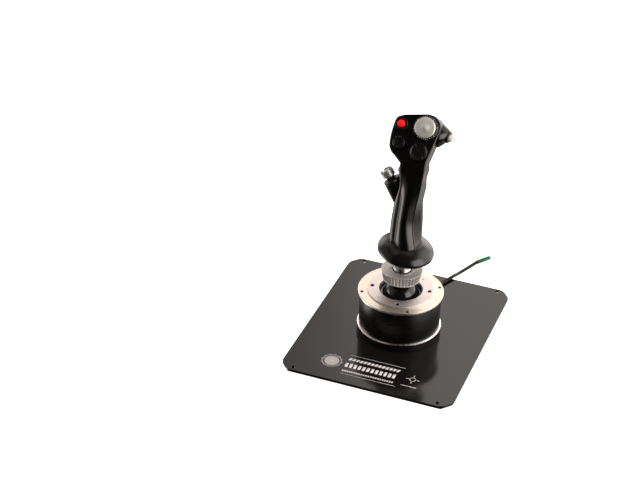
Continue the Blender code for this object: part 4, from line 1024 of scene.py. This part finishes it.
def screw_spots(circle, turn):
    """Four places a quarter turn apart."""
    return [Vector((circle * math.cos(turn + k * math.pi / 2), circle * math.sin(turn + k * math.pi / 2), 0))
            for k in range(4)]


def drill(radius, low, high, matrix, sides=24):
    """A round cutter between two heights of a frame, in millimetres."""
    return prism_mesh("drill", radius * MM, low * MM, high * MM, sides), matrix


def profile_cutter(profile, matrix, segments=24):
    """A turned cutter."""
    return turned_mesh("cutter", profile, segments), matrix


def make_housing():
    """The foot ring, barrel, flange, clamp ring and socket cup, with their screws."""
    low = PLATE_TOP / MM + 0.3
    ring = turned_piece("foot_ring_skin", ((52.2, 16.4), (53.9, 15.2), (53.9, low), (48.5, low), (48.5, 16.4)),
                        "base", "barrel_black", replaces=["foot_ring"], segments=160, soft=0.35,
                        cuts=[drill(3.9, 44, 60, exit_frame())])
    ring.data.materials.append(POLISHED_EDGE)
    for face in ring.data.polygons:
        if face.center.z > 14.9 * MM and 0.25 < face.normal.z < 0.97:
            face.material_index = 1
    turned_piece("barrel_skin", ((52.0, 61.3), (52.0, 16.7), (47.5, 16.7), (47.5, 61.3)), "base", "barrel_black",
                 replaces=["barrel"], segments=160, soft=0.4)
    flange_holes = []
    clamp_holes = []
    for k, spot in enumerate(screw_spots(FLANGE_SCREW_CIRCLE, FLANGE_SCREW_TURN)):
        place = Matrix.Translation(spot)
        flange_holes.append(profile_cutter(((0, 66), (2.7, 66), (2.2, 64.3), (2.2, 63.1), (1.5, 63.1), (1.5, 55),
                                            (0, 55)), place))
        turned_piece(f"flange_screw_head_{k + 1}", ((0, 64.45), (1.5, 64.45), (1.9, 64.1), (1.9, 63.4), (1.2, 63.4),
                                                    (1.2, 57.0), (0, 57.0)), "base", "steel", place,
                     [f"flange_screw_{k + 1}"], DARK_STEEL, 32, 0.12,
                     cuts=[drill(1.0, 63.5, 66, place, 6)])
    for k, spot in enumerate(screw_spots(CLAMP_SCREW_CIRCLE, CLAMP_SCREW_TURN)):
        place = Matrix.Translation(spot)
        hole = profile_cutter(((0, 68), (3.0, 68), (3.0, 66.5), (1.7, 65.2), (1.7, 50), (0, 50)), place)
        clamp_holes.append(hole)
        flange_holes.append((hole[0].copy(), place))
        turned_piece(f"clamp_screw_head_{k + 1}", ((0, 66.3), (2.4, 66.3), (2.4, 66.05), (1.4, 65.1), (1.4, 60.0),
                                                   (0, 60.0)), "base", "steel", place, [f"clamp_screw_{k + 1}"],
                     material=DARK_STEEL, segments=32, soft=0.1, cuts=[drill(1.2, 65.4, 68, place, 6)])
        clamp_holes.append(drill(0.9, 60, 70, Matrix.Rotation(math.pi / 4, 4, "Z") @ place))
    turned_piece("flange_skin", ((54.0, 64.6), (54.5, 64.1), (54.5, 62.1), (54.0, 61.6), (47.0, 61.6), (45.5, 58.6),
                                 (29.5, 58.6), (29.5, 61.2), (33.0, 61.2), (33.0, 64.6)), "base",
                 "turned_aluminium", replaces=["top_flange"], segments=160, soft=0.25, cuts=flange_holes)
    turned_piece("clamp_ring_skin", ((42.2, 66.5), (42.6, 66.1), (42.6, 64.9), (27.9, 64.9), (27.9, 66.5)), "base",
                 "satin_aluminium", replaces=["clamp_ring"], segments=160, soft=0.2, cuts=clamp_holes)
    turned_piece("socket_cup_skin", ((26.6, 66.2), (27.6, 66.2), (27.6, 64.5), (32.7, 64.5), (32.7, 61.5),
                                     (29.2, 61.5), (29.2, 57.2), (22.6, 57.2), (22.4, 58.4), (22.3, 60.4),
                                     (23.6, 61.6), (24.6, 61.9), (25.2, 63.6)), "base", "gloss_black",
                 replaces=["socket_cup"], segments=128, soft=0.4)


# ---------------------------------------------------------------- ball, neck and hand rest

def make_neck():
    """The ball, the neck, the fluted locking ring, the hub and the disc under the hand rest."""
    outer = BALL_RADIUS / MM
    inner = outer - 2.2
    centre = PIVOT.z / MM
    neck = NECK_RADIUS / MM
    points = []
    start = math.asin((neck + 0.3) / outer)
    end = math.acos(-6 / outer)
    for k in range(25):
        angle = start + (end - start) * k / 24
        points.append((outer * math.sin(angle), centre + outer * math.cos(angle)))
    points += [(20.0, centre - 8.6), (16.3, centre - 8.6), (16.3, centre - 6.4)]
    end = math.acos(-5 / inner)
    start = math.asin((neck + 0.3) / inner)
    for k in range(15):
        angle = end + (start - end) * k / 14
        points.append((inner * math.sin(angle), centre + inner * math.cos(angle)))
    turned_piece("ball_skin", points, "stick", "gloss_black", replaces=["ball_dome"], segments=128, soft=0)

    neck_profile = ((0, 90.0), (20.8, 90.0), (20.8, 84.6), (neck, 82.0), (neck, centre + 15.4),
                    (11.0, centre + 12.0), (0, centre + 12.0))
    neck_mesh = turned_mesh("neck", fillet(neck_profile, 0.4), 96)
    ears = [Vector((x * MM, y * MM)) for x, y in ((4.2, 14), (-4.2, 14), (-4.2, -4.2), (4.2, -4.2))]
    ear_outline = round_corners(ears, [0.01 * MM, 0.01 * MM, 4.1 * MM, 4.1 * MM], 8)
    along_y = Matrix.Translation(PIVOT) @ Matrix.Rotation(math.pi / 2, 4, "X")
    fork = slab_mesh("fork", ear_outline, -10.5 * MM, 10.5 * MM)
    neck_mesh = combined_mesh(neck_mesh, Matrix(), [(fork, along_y)], "UNION")
    slot = box_mesh("fork_slot", (30 * MM, 14 * MM, 24 * MM))
    neck_mesh = cut_mesh(neck_mesh, Matrix(), [(slot, Matrix.Translation(PIVOT)), drill(2.6, -20, 20, along_y)])
    finish_piece("neck_skin", neck_mesh, "stick", "barrel_black", replaces=["stick_shaft"], weighted=True)

    flute_top = RING_TOP / MM - 0.5
    flute_bottom = RING_BOTTOM / MM + 0.9

    def flutes(radius, height, angle):
        if radius < 22 or not flute_bottom < height < flute_top:
            return radius
        fade = ease((flute_top - height) / 0.6) * ease((height - flute_bottom) / 0.7)
        return radius - FLUTE_DEPTH * fade * (0.5 + 0.5 * math.cos(RING_FLUTES * angle)) ** 0.9

    def wall(height):
        return 23.9 + (26.25 - 23.9) * (height - 83.0) / (96.3 - 83.0)

    top = RING_TOP / MM
    rim = fillet(((24.4, top), (26.25, top), (wall(96.1), 96.1)), 0.3, 4, closed=False)
    heights = [96.0, 95.8, 95.6, 95.5, 94.5, 92, 90, 88, 86, 84.6, 84.3, 84.0, 83.9, 83.5]
    side = [(wall(height), height) for height in heights]
    inside = ((23.5, 83.0), (21.4, 83.0), (21.4, 93.6), (12.3, 93.6), (12.3, top - 0.5), (12.8, top), (15.8, top),
              (16.0, top - 0.25), (24.2, top - 0.25))
    slots = []
    for turn in (19, 199):
        matrix = Matrix.Rotation(math.radians(turn), 4, "Z") @ Matrix.Translation((14.5 * MM, 0, RING_TOP))
        slots.append((box_mesh("ring_slot", (5 * MM, 2 * MM, 2.4 * MM)), matrix))
    turned_piece("locking_ring_skin", [*rim, *side, *inside], "locking_ring", "satin_aluminium",
                 replaces=["locking_ring"], material=COLLAR, segments=RING_FLUTES * 9, soft=0, wave=flutes,
                 cuts=slots)
    turned_piece("hub_skin", ((9.5, 150), (9.5, 99.5), (11.4, 97.2), (11.4, 93.3), (20.6, 93.3), (20.6, 90.3),
                              (6.0, 90.3), (6.0, 150)), "stick", "steel", replaces=["grip_hub"], segments=96,
                 soft=0.4)
    turned_piece("neck_disc_skin", ((15.4, 112.0), (16.0, 111.4), (16.0, 110.0), (9.8, 110.0), (9.8, 112.0)),
                 "stick", "gloss_black", replaces=["neck_disc"], segments=96, soft=0.3)


def rest_matrix():
    """The hand rest's own frame: lower on the right, and tipped a little back."""
    return (Matrix.Translation(REST_CENTRE) @ Matrix.Rotation(REST_TILT_SIDE, 4, "Y")
            @ Matrix.Rotation(REST_TILT_BACK, 4, "X"))


def make_hand_rest():
    """The saucer under the hand, with its stepped rim and a pocket for the foot of the grip."""
    dome = hermite_curve([Vector(p) for p in ((0, 12.0), (14.0, 11.6), (20.0, 10.4), (26.0, 8.0), (31.0, 4.6),
                                              (34.6, 0.8))], 5)
    rim = fillet(((34.6, 0.8), (35.6, -0.6), (36.0, -2.4), (35.8, -4.6), (34.8, -5.8), (30.0, -6.6), (17.0, -9.4),
                  (0, -9.4)), 0.35, 3, closed=False)
    pocket = skin_mesh("rest_pocket", -0.35, -0.3 * MM, 3)
    mesh = turned_mesh("hand_rest", [*dome, *rim[1:]], 144)
    mesh = cut_mesh(mesh, rest_matrix(), [drill(9.8, 90, 145, Matrix(), 48), (pocket, Matrix())])
    finish_piece("hand_rest_skin", mesh, "stick", "gloss_black", rest_matrix(), ["hand_rest"], REST_BLACK,
                 weighted=True)


# ---------------------------------------------------------------- the grip's surface

def grip_axes(lean, twist):
    """Right, forward and up axes of a section that leans forward and twists towards the right hand."""
    return Matrix.Rotation(twist, 3, "Z") @ Matrix.Rotation(-lean, 3, "X") @ Matrix.Rotation(-twist, 3, "Y")


FACE_AXES = grip_axes(FACE_LEAN, FACE_TWIST)


def column_rear(height):
    """The column's rear line at a height."""
    return Vector((0, (height - COLUMN_START_Z) * math.tan(COLUMN_LEAN) - COLUMN_REAR, height))


def grip_stations():
    """Each section's origin, axes, corners, corner radii and rear bulge, from the bottom up."""
    stations = []
    for row in COLUMN_ROWS:
        height, lean, twist, left, right, bulge, soft, mid_left, mid_right, depth = row
        corners = ((left, bulge), (right, bulge), (mid_right, 0.56 * depth), (mid_right - 8, depth),
                   (mid_left + 8, depth), (mid_left, 0.56 * depth))
        radii = (soft, 1.6, 14, 11, 11, 14)
        stations.append((column_rear(height * MM), grip_axes(math.radians(lean), math.radians(twist)),
                         corners, radii, bulge))
    for rise, left, right, depth in HEAD_ROWS:
        corners = ((left, 0), (right, 0), (right + 2.5, 0.46 * depth), (right - 7, depth),
                   (left + 9, depth), (left - 1, 0.46 * depth))
        radii = (2.6, 1.8, 12, 11, 11, 12)
        origin = FACE_CENTRE + FACE_AXES.col[2] * rise * MM
        stations.append((origin, FACE_AXES, corners, radii, 0))
    return stations


def inset_corners(corners, distance):
    """The corners of the outline moved inwards by a distance, or outwards by a negative one."""
    moved = []
    count = len(corners)
    for i in range(count):
        here = Vector(corners[i])
        back = (here - Vector(corners[i - 1])).normalized()
        ahead = (Vector(corners[(i + 1) % count]) - here).normalized()
        inward_back = Vector((-back.y, back.x))
        inward_ahead = Vector((-ahead.y, ahead.x))
        middle = (inward_back + inward_ahead).normalized()
        moved.append(here + middle * distance / middle.dot(inward_back))
    return moved


def section_points(station, inset, steps=6, rear_steps=10):
    """World points round one section of the grip."""
    origin, axes, corners, radii, bulge = station
    moved = inset_corners(corners, inset)
    arcs = round_corners(moved, [max(0.6, radius - inset) for radius in radii], steps)
    left_end = arcs[steps]
    right_start = arcs[steps + 1]
    rear = []
    for k in range(1, rear_steps):
        s = k / rear_steps
        point = left_end.lerp(right_start, s)
        point.y -= bulge * 4 * s * (1 - s)
        rear.append(point)
    outline = arcs[:steps + 1] + rear + arcs[steps + 1:]
    return [origin + axes @ Vector((point.x, point.y, 0)) * MM for point in outline]


def hermite_curve(knots, per_span):
    """Points on a smooth curve through the knots, with tangents that allow for uneven spacing."""
    spans = [max(1e-9, (b - a).length) for a, b in zip(knots, knots[1:])]
    return hermite_samples(knots, spans, per_span)


def hermite_samples(knots, spans, per_span, shift=0.0):
    """Points of a smooth curve through the knots, whose parameter grows by each span's length."""
    last = len(knots) - 1
    slopes = []
    for i in range(last + 1):
        if i == 0:
            slopes.append((knots[1] - knots[0]) / spans[0])
        elif i == last:
            slopes.append((knots[-1] - knots[-2]) / spans[-1])
        else:
            before = (knots[i] - knots[i - 1]) / spans[i - 1]
            after = (knots[i + 1] - knots[i]) / spans[i]
            total = spans[i - 1] + spans[i]
            slopes.append(before * (spans[i] / total) + after * (spans[i - 1] / total))
    samples = []
    for i in range(last):
        for k in range(per_span):
            t = (k + shift) / per_span
            t2 = t * t
            t3 = t2 * t
            samples.append(knots[i] * (2 * t3 - 3 * t2 + 1) + slopes[i] * spans[i] * (t3 - 2 * t2 + t)
                           + knots[i + 1] * (3 * t2 - 2 * t3) + slopes[i + 1] * spans[i] * (t3 - t2))
    if shift == 0:
        samples.append(knots[-1])
    return samples


def smooth_rings(rings, per_span, shift=0.0):
    """More rings between the given ones, on smooth curves through their points."""
    count = len(rings[0])
    spans = []
    for lower, upper in zip(rings, rings[1:]):
        spans.append(sum((upper[k] - lower[k]).length for k in range(count)) / count)
    columns = [hermite_samples(knots, spans, per_span, shift) for knots in zip(*rings)]
    return [list(ring) for ring in zip(*columns)]


def grip_rings(inset, per_span, shift=0.0):
    """The grip's sections from the bottom up, smooth along the column and along the head, with a crease where
    they meet."""
    rings = [section_points(station, inset) for station in grip_stations()]
    crease = len(COLUMN_ROWS)
    column = smooth_rings(rings[:crease + 1], per_span, shift)
    head = smooth_rings(rings[crease:], per_span, shift)
    if shift == 0:
        column = column[:-1]
    return column + head


def moved_station(station, rise):
    """The same section, moved along its own up axis."""
    origin, axes, corners, radii, bulge = station
    return origin + axes.col[2] * rise, axes, corners, radii, bulge


def skin_mesh(name, inset, bottom, spans):
    """The lowest few spans of the grip's skin, from a height above or below its foot."""
    stations = grip_stations()[:spans + 1]
    stations[0] = moved_station(stations[0], bottom)
    return loft_mesh(name, smooth_rings([section_points(station, inset) for station in stations], 4))


def hollow_mesh():
    """The space inside the grip, run on past its foot."""
    stations = grip_stations()[:-1]
    stations[0] = moved_station(stations[0], -12 * MM)
    rings = [section_points(station, GRIP_WALL) for station in stations]
    return loft_mesh("hollow", smooth_rings(rings, 2, 0.31))


def seam_block(near, far):
    """A block that follows the grip's bend, between two depths from its rear."""
    half = 52
    stations = grip_stations()
    chosen = [moved_station(stations[0], -14 * MM), *stations[1:-1:2], moved_station(stations[-1], 16 * MM)]
    rings = []
    for origin, axes, _, _, _ in chosen:
        corners = ((-half, near), (half, near), (half, far), (-half, far))
        rings.append([origin + axes @ Vector((x, y, 0)) * MM for x, y in corners])
    return loft_mesh("seam_block", smooth_rings(rings, 3))


def circle_ring(centre, axes, radius, count):
    """World points of a circle."""
    return [centre + axes @ Vector((math.cos(math.tau * k / count), math.sin(math.tau * k / count), 0)) * radius
            for k in range(count)]


def face_matrix(place=(0, 0)):
    """A frame on the head's face, with X right, Y up the face and Z out of it."""
    right = FACE_AXES.col[0]
    up = FACE_AXES.col[2]
    out = -FACE_AXES.col[1]
    matrix = Matrix((right, up, out)).transposed().to_4x4()
    matrix.translation = FACE_CENTRE + right * place[0] + up * place[1]
    return matrix


def side_frame():
    """The side button's frame."""
    return pointing(SIDE_BUTTON_PLACE, SIDE_BUTTON_AXIS)


def cms_frame():
    """The frame of the hat on the column."""
    return pointing(CMS_PLACE, CMS_AXIS)


def pinky_button_matrix():
    """The small button on the front of the column, looking forward."""
    axes = grip_axes(COLUMN_LEAN, 0)
    forward = axes.col[1]
    place = column_rear(PINKY_BUTTON_HEIGHT) + forward * 45.5 * MM
    return pointing(place, forward, Vector((1, 0, 0)))


def side_boss_ring(depth, radius, down, reach, count):
    """An outline round the side button's axis, round above and behind, and fuller below and toward the face."""
    level = Vector((0, 0, 1))
    near = SIDE_BUTTON_AXIS.cross(level).normalized()
    if near.y > 0:
        near = -near
    upright = (level - SIDE_BUTTON_AXIS * SIDE_BUTTON_AXIS.dot(level)).normalized()
    centre = SIDE_BUTTON_PLACE - SIDE_BUTTON_AXIS * depth * MM
    points = []
    for k in range(count):
        angle = math.tau * k / count
        across = math.cos(angle)
        rise = math.sin(angle)
        if across > 0 and rise < 0:
            power = radius / reach
            across = across ** power
            rise = -((-rise) ** power)
        across *= reach if across > 0 else radius
        rise *= radius if rise > 0 else down
        points.append(centre + (near * across + upright * rise) * MM)
    return points


def make_grip():
    """The hollow rear shell with its face and bosses, and the front cover."""
    skin = loft_mesh("grip", grip_rings(0, 5))
    hollow = hollow_mesh()
    side_boss = loft_mesh("side_boss", [side_boss_ring(*row, 64) for row in SIDE_BOSS_ROWS])
    cms_axes = cms_frame().to_3x3()
    foot_axes = pointing(CMS_BOSS_FOOT, CMS_PLACE - CMS_BOSS_FOOT).to_3x3()
    top = CMS_PLACE - CMS_AXIS * 2.9 * MM
    cms_rings = [circle_ring(CMS_BOSS_FOOT, foot_axes, 6 * MM, 48)]
    for share in (0.25, 0.5, 0.75):
        axes = foot_axes.to_quaternion().slerp(cms_axes.to_quaternion(), share).to_matrix()
        radius = (6 + (11.2 - 6) * share) * MM
        cms_rings.append(circle_ring(CMS_BOSS_FOOT.lerp(top, share), axes, radius, 48))
    cms_rings.append(circle_ring(top - CMS_AXIS * 0.5 * MM, cms_axes, 11.2 * MM, 48))
    cms_rings.append(circle_ring(top, cms_axes, 10.9 * MM, 48))
    cms_boss = loft_mesh("cms_boss", cms_rings)

    shell = combined_mesh(skin.copy(), Matrix(), [(side_boss, Matrix())], "UNION")
    shell = cut_mesh(shell, Matrix(), [(hollow.copy(), Matrix())])
    shell = combined_mesh(shell, Matrix(), [(cms_boss, Matrix())], "UNION")
    cuts = [(seam_block(SEAM_DEPTH - SEAM_GAP / 2, 60), Matrix())]
    for place, radius in ((THUMB_BUTTON_PLACE, 5.2), (TRIM_HAT_PLACE, 8.0), (LEFT_HAT_PLACE, 5.6),
                          (RIGHT_HAT_PLACE, 7.5)):
        cuts.append(drill(radius, -8, 8, face_matrix(place), 48))
    cuts.append(profile_cutter(((0, 4), (5.5, 4), (5.5, -4), (3.2, -5), (3.2, -24), (0, -24)), side_frame(), 48))
    cuts.append(profile_cutter(((0, 3), (11.7, 3), (11.7, -2.9), (8.4, -2.9), (8.4, -8.5), (2.5, -11), (2.5, -24),
                                (0, -24)), cms_frame(), 64))
    shell = cut_mesh(shell, Matrix(), cuts)
    finish_piece("grip_rear", shell, "stick", "grip_black", replaces=["grip_shell"], weighted=True)

    cuts = [(hollow, Matrix()), (seam_block(-40, SEAM_DEPTH + SEAM_GAP / 2), Matrix())]
    cuts.append((box_mesh("trigger_slot", (TRIGGER_WIDTH + 1.2 * MM, 22 * MM, 24 * MM)),
                 Matrix.Translation(TRIGGER_PIVOT + Vector((0, 10 * MM, -1 * MM)))))
    cuts.append((box_mesh("pinky_slot", (PINKY_WIDTH + 1.2 * MM, 22 * MM, 17 * MM)),
                 Matrix.Translation(PINKY_PIVOT + Vector((0, 8 * MM, 2 * MM)))))
    cuts.append(drill(4.6, -10, 10, pinky_button_matrix(), 48))
    cover = cut_mesh(skin, Matrix(), cuts)
    finish_piece("grip_front", cover, "stick", "grip_black", replaces=["front_cover"], weighted=True)


# ---------------------------------------------------------------- controls

def notches(frame, radius, width, depth, top, count, turn=0):
    """Cutters for evenly spaced notches in the rim of a cap."""
    cutters = []
    for k in range(count):
        spin = Matrix.Rotation(math.tau * k / count + math.radians(turn), 4, "Z")
        block = box_mesh("notch", (radius * MM, width * MM, depth * MM))
        cutters.append((block, frame @ spin @ Matrix.Translation((radius * 0.95 * MM, 0, top * MM))))
    return cutters


def hat_cuts(frame):
    """What a hat's stem leaves free for its cross."""
    pivot = frame @ Matrix.Translation((0, 0, HAT_PIVOT))
    along_y = pivot @ Matrix.Rotation(-math.pi / 2, 4, "X")
    return [(box_mesh("hat_gap", (8 * MM, 3.8 * MM, 5 * MM), (0, 0, -0.4 * MM)), pivot),
            drill(1.2, -6, 6, along_y)]


def hat_piece(name, frame, profile, body, slot, extra_cuts=(), extras=(), material=None, soft=0.35, segments=96):
    """A hat with its forked stem, any notches, and any bumps joined on."""
    fork = box_mesh("fork", (3.2 * MM, 6.8 * MM, 7.2 * MM), (0, 0, -2.6 * MM))
    mesh = turned_mesh(name, fillet(profile, soft), segments)
    mesh = combined_mesh(mesh, frame, [(fork, frame), *extras], "UNION")
    mesh = cut_mesh(mesh, frame, [*hat_cuts(frame), *extra_cuts])
    return finish_piece(f"{name}_cap", mesh, body, slot, frame, [name], material, weighted=True)


def make_ticks(name, frame, radius, count, height):
    """A ring of small printed ticks."""
    shape = bmesh.new()
    for k in range(count):
        angle = 360 * k / count
        reach, half = (1.3, 2.0) if k % 4 == 0 else (0.8, 1.2)
        add_band(shape, (0, 0), radius, radius + reach, angle - half, angle + half, height * MM, 1)
    ink_piece(name, shape, "stick", frame)


def make_face_controls():
    """The red button and the three hats on the head's face."""
    frame = face_matrix(THUMB_BUTTON_PLACE)
    turned_piece("thumb_button_cap", ((0, 3.9), (2.2, 3.85), (3.6, 3.5), (4.5, 2.9), (4.8, 2.0), (4.8, -3.6),
                                      (6.3, -3.6), (6.3, -5.4), (0, -5.4)), "thumb_button", "button_red", frame,
                 ["thumb_button"], soft=0.4)
    turned_piece("thumb_button_bezel", ((7.3, 1.3), (8.1, 0.9), (8.5, 0.02), (5.3, 0.02), (5.5, 0.9)), "stick",
                 "grip_black", frame, material=CONTROL_BLACK, soft=0.25)

    frame = face_matrix(TRIM_HAT_PLACE)
    turned_piece("trim_bezel", ((14.5, 2.3), (15.4, 1.5), (15.4, 0.3), (9.2, 0.3), (9.2, 2.3)), "stick",
                 "grip_black", frame, ["trim_hat_bezel"], CONTROL_BLACK, 128, 0.3)
    make_ticks("trim_ticks", frame, 13.0, 32, 2.33)
    profile = ((0, 12.6), (1.6, 12.3), (6.0, 10.7), (11.4, 9.75), (12.75, 8.9), (12.75, 7.0), (11.8, 5.9),
               (3.4, 5.6), (3.2, -1.6), (0, -1.6))
    hat_piece("trim_hat", frame, profile, "trim_hat", "hat_silver", soft=0.5, segments=128)

    frame = face_matrix(LEFT_HAT_PLACE)
    profile = ((0, 6.3), (4.8, 6.4), (5.4, 8.2), (6.9, 8.2), (7.5, 7.4), (7.5, 2.8), (3.4, 2.4), (3.2, -1.6),
               (0, -1.6))
    hat_piece("left_hat", frame, profile, "left_hat", "grip_black", notches(frame, 6.6, 2.6, 2.6, 8.4, 4, 45),
              material=CONTROL_BLACK)

    frame = face_matrix(RIGHT_HAT_PLACE)
    profile = ((0, 4.2), (8.6, 4.6), (9.6, 5.6), (10.4, 5.4), (10.9, 4.6), (10.9, 3.2), (10.4, 2.7), (3.4, 2.7),
               (3.2, -1.6), (0, -1.6))
    bumps = []
    for k in range(4):
        spin = Matrix.Rotation(math.radians(28 + 90 * k), 4, "Z")
        bump = turned_mesh("bump", fillet(((0, 6.6), (1.1, 6.5), (2.0, 5.2), (2.0, 3.4), (0, 3.4)), 0.5), 24)
        bumps.append((bump, frame @ spin @ Matrix.Translation((8.4 * MM, 0, 0))))
    hat_piece("right_hat", frame, profile, "right_hat", "grip_black", extras=bumps, material=CONTROL_BLACK)


def make_side_controls():
    """The button on the right of the head, and the silver hat on the left of the column."""
    frame = side_frame()
    ribs = [(6.6, 2.7), (7.3, 2.0), (7.3, 1.75), (6.9, 1.6), (6.9, 1.4), (7.3, 1.25), (7.3, 0.3), (5.4, 0.3),
            (5.4, 2.7)]
    turned_piece("side_button_bezel", ribs, "stick", "barrel_black", frame, ["side_bezel"], CONTROL_BLACK,
                 soft=0.15)
    turned_piece("side_button_cap", ((0, 6.6), (4.0, 6.5), (4.8, 5.8), (4.8, -2.0), (2.9, -2.6), (2.9, -7.0),
                                     (0, -7.0)), "side_button", "hat_silver", frame, ["side_button"], IVORY,
                 soft=0.4)

    frame = cms_frame()
    turned_piece("cms_collar_ring", ((10.5, 0), (11.4, -0.8), (11.4, -2.6), (6.2, -2.6), (6.2, -0.4), (8.6, -0.4),
                                     (9.0, 0)), "stick", "grip_black", frame, ["cms_collar"], CONTROL_BLACK,
                 soft=0.2)
    cap_profile = ((0, 12.6), (5.6, 12.6), (6.0, 14.0), (7.6, 14.0), (8.3, 13.3), (8.3, 5.2), (7.6, 4.5),
                   (0, 4.5))
    cap = turned_mesh("cms_cap", fillet(cap_profile, 0.35), 96)
    cap = cut_mesh(cap, frame, notches(frame, 8, 3.2, 4.4, 13.6, 4, 65))
    finish_piece("cms_cap", cap, "cms_hat", "hat_silver", frame, material=SILVER_SATIN, weighted=True)
    boot_profile = ((0, 4.4), (6.4, 4.4), (5.2, 3.3), (5.6, 2.3), (4.6, 1.2), (4.4, 0.4), (3.2, -0.6),
                    (3.2, -1.6), (0, -1.6))
    hat_piece("cms_hat", frame, boot_profile, "cms_hat", "rubber", material=FINISHES["rubber"])


def lever_piece(name, node, pivot, points, width, body, edge):
    """A lever with a smooth outline in the YZ plane, soft edges and a bore for its pin."""
    corners = [Vector(point) for point in points]
    outline = []
    for i in range(len(corners)):
        around = (corners[(i + k) % len(corners)] for k in (-1, 0, 1, 2))
        outline += [point * MM for point in catmull_rom(*around, 4)]
    turn = Matrix.Translation(pivot) @ Matrix(((0, 0, 1, 0), (1, 0, 0, 0), (0, 1, 0, 0), (0, 0, 0, 1)))
    mesh = slab_mesh(name, outline, -width / 2, width / 2)
    mesh = cut_mesh(mesh, turn, [drill(1.5, -12, 12, turn)])
    piece = finish_piece(name, mesh, body, "grip_black", turn, [node], CONTROL_BLACK, sharp=40)
    round_edges(piece, edge, 4, 50)


def pin_piece(name, node, pivot, reach):
    """A pin with chamfered ends."""
    turned_piece(name, ((0, reach), (1.0, reach), (1.2, reach - 0.2), (1.2, 0.2 - reach), (1.0, -reach),
                        (0, -reach)), "stick", "steel", pointing(pivot, Vector((1, 0, 0))), [node], segments=32,
                 soft=0.05)


def make_levers():
    """The trigger, the little finger's lever and button, and their pins."""
    outline = ((-3.2, 3.0), (0, 4.0), (6, 3.4), (12, 1.0), (16.5, -4.5), (18.6, -12), (18.8, -20), (17.4, -28),
               (14.6, -34), (12.8, -33), (13.6, -27), (13.9, -19), (12.6, -12), (9.4, -7), (4, -4.4), (-1.8, -3.6),
               (-3.8, -1))
    lever_piece("trigger_blade", "trigger", TRIGGER_PIVOT, outline, TRIGGER_WIDTH, "trigger", 0.7 * MM)
    outline = ((-3.0, 2.0), (2, 3.4), (6.2, 4.4), (9.6, 10), (12.8, 24), (15.6, 37), (17.8, 38.4), (19.0, 37),
               (17.0, 22), (14.0, 8), (11.0, -0.5), (6.0, -3.4), (0, -3.6), (-3.0, -2.0))
    lever_piece("pinky_paddle", "pinky_lever", PINKY_PIVOT, outline, PINKY_WIDTH, "pinky_lever", 0.9 * MM)
    pin_piece("trigger_axle", "trigger_pin", TRIGGER_PIVOT, 8.2)
    pin_piece("pinky_axle", "pinky_pin", PINKY_PIVOT, 9.4)
    turned_piece("pinky_button_cap", ((0, 3.0), (3.2, 2.8), (4.2, 1.8), (4.2, -4.6), (5.8, -4.6), (5.8, -6.2),
                                      (0, -6.2)), "pinky_button", "grip_black", pinky_button_matrix(),
                 ["pinky_button"], CONTROL_BLACK, soft=0.4)


# ---------------------------------------------------------------- cable fittings

def make_relief():
    """The ribbed strain relief."""
    ribs = []
    for k in range(5):
        low = 70.6 - 2.6 * k
        radius = 2.95 + 0.26 * k
        ribs += [(radius, low), (radius, low - 1.3), (radius - 0.55, low - 1.5), (radius - 0.5, low - 2.4)]
    profile = [(0, 71.7), (2.75, 71.7), *ribs, (5.0, 57.2), (5.0, 54.3), (3.6, 54.3), (3.6, 47.4), (5.4, 47.4),
               (5.4, 45.4), (0, 45.4)]
    turned_piece("relief_boot", profile, "base", "rubber", exit_frame(), ["strain_relief"], segments=64, soft=0.2)


def make_plug():
    """A slim round plug under a rounded green cap."""
    frame = pointing(Vector(RUN_ROUTE[-1]) * MM, PLUG_DIRECTION, Vector((0, 0, 1)))
    outer = PLUG_CAP_RADIUS
    end = PLUG_CAP_LENGTH
    cap = ((0, end), (0.5 * outer, end - 0.35), (0.84 * outer, end - 1.2), (outer, end - 3.0), (outer, 4.6),
           (outer - 0.3, 4.3), (outer - 0.3, 3.7), (outer, 3.4), (outer, 1.0), (outer - 0.4, 0.6), (2.05, 0.6),
           (2.05, end - 2.8), (0, end - 2.8))
    turned_piece("plug_cap", cap, "base", "cap_green", frame, ["plug_body"], segments=48, soft=0.25)
    pin = ((0, end - 3.6), (1.3, end - 3.6), (1.75, end - 4.1), (1.75, 9.0), (1.5, 8.8), (1.5, 8.2), (1.75, 8.0),
           (1.75, 0.6), (0, 0.6))
    turned_piece("plug_pin", pin, "base", "steel", frame, ["plug_shell"], segments=32, soft=0.12)
    return ["plug_cap", "plug_pin"]


def finish_cad_nodes():
    """Gives every CAD node that stays its finish, by its slot in the record."""
    for part in frame["record"]["subparts"]:
        for place in frame["nodes"][part["node"]].material_slots:
            place.material = FINISHES[part["material_slot"]]
    round_edges(frame["nodes"]["cord_tie"], 0.4 * MM, 2, 40)


make_plate()
make_print()
make_housing()
make_neck()
make_hand_rest()
make_grip()
make_face_controls()
make_side_controls()
make_levers()
make_relief()
plug_pieces = make_plug()
finish_cad_nodes()
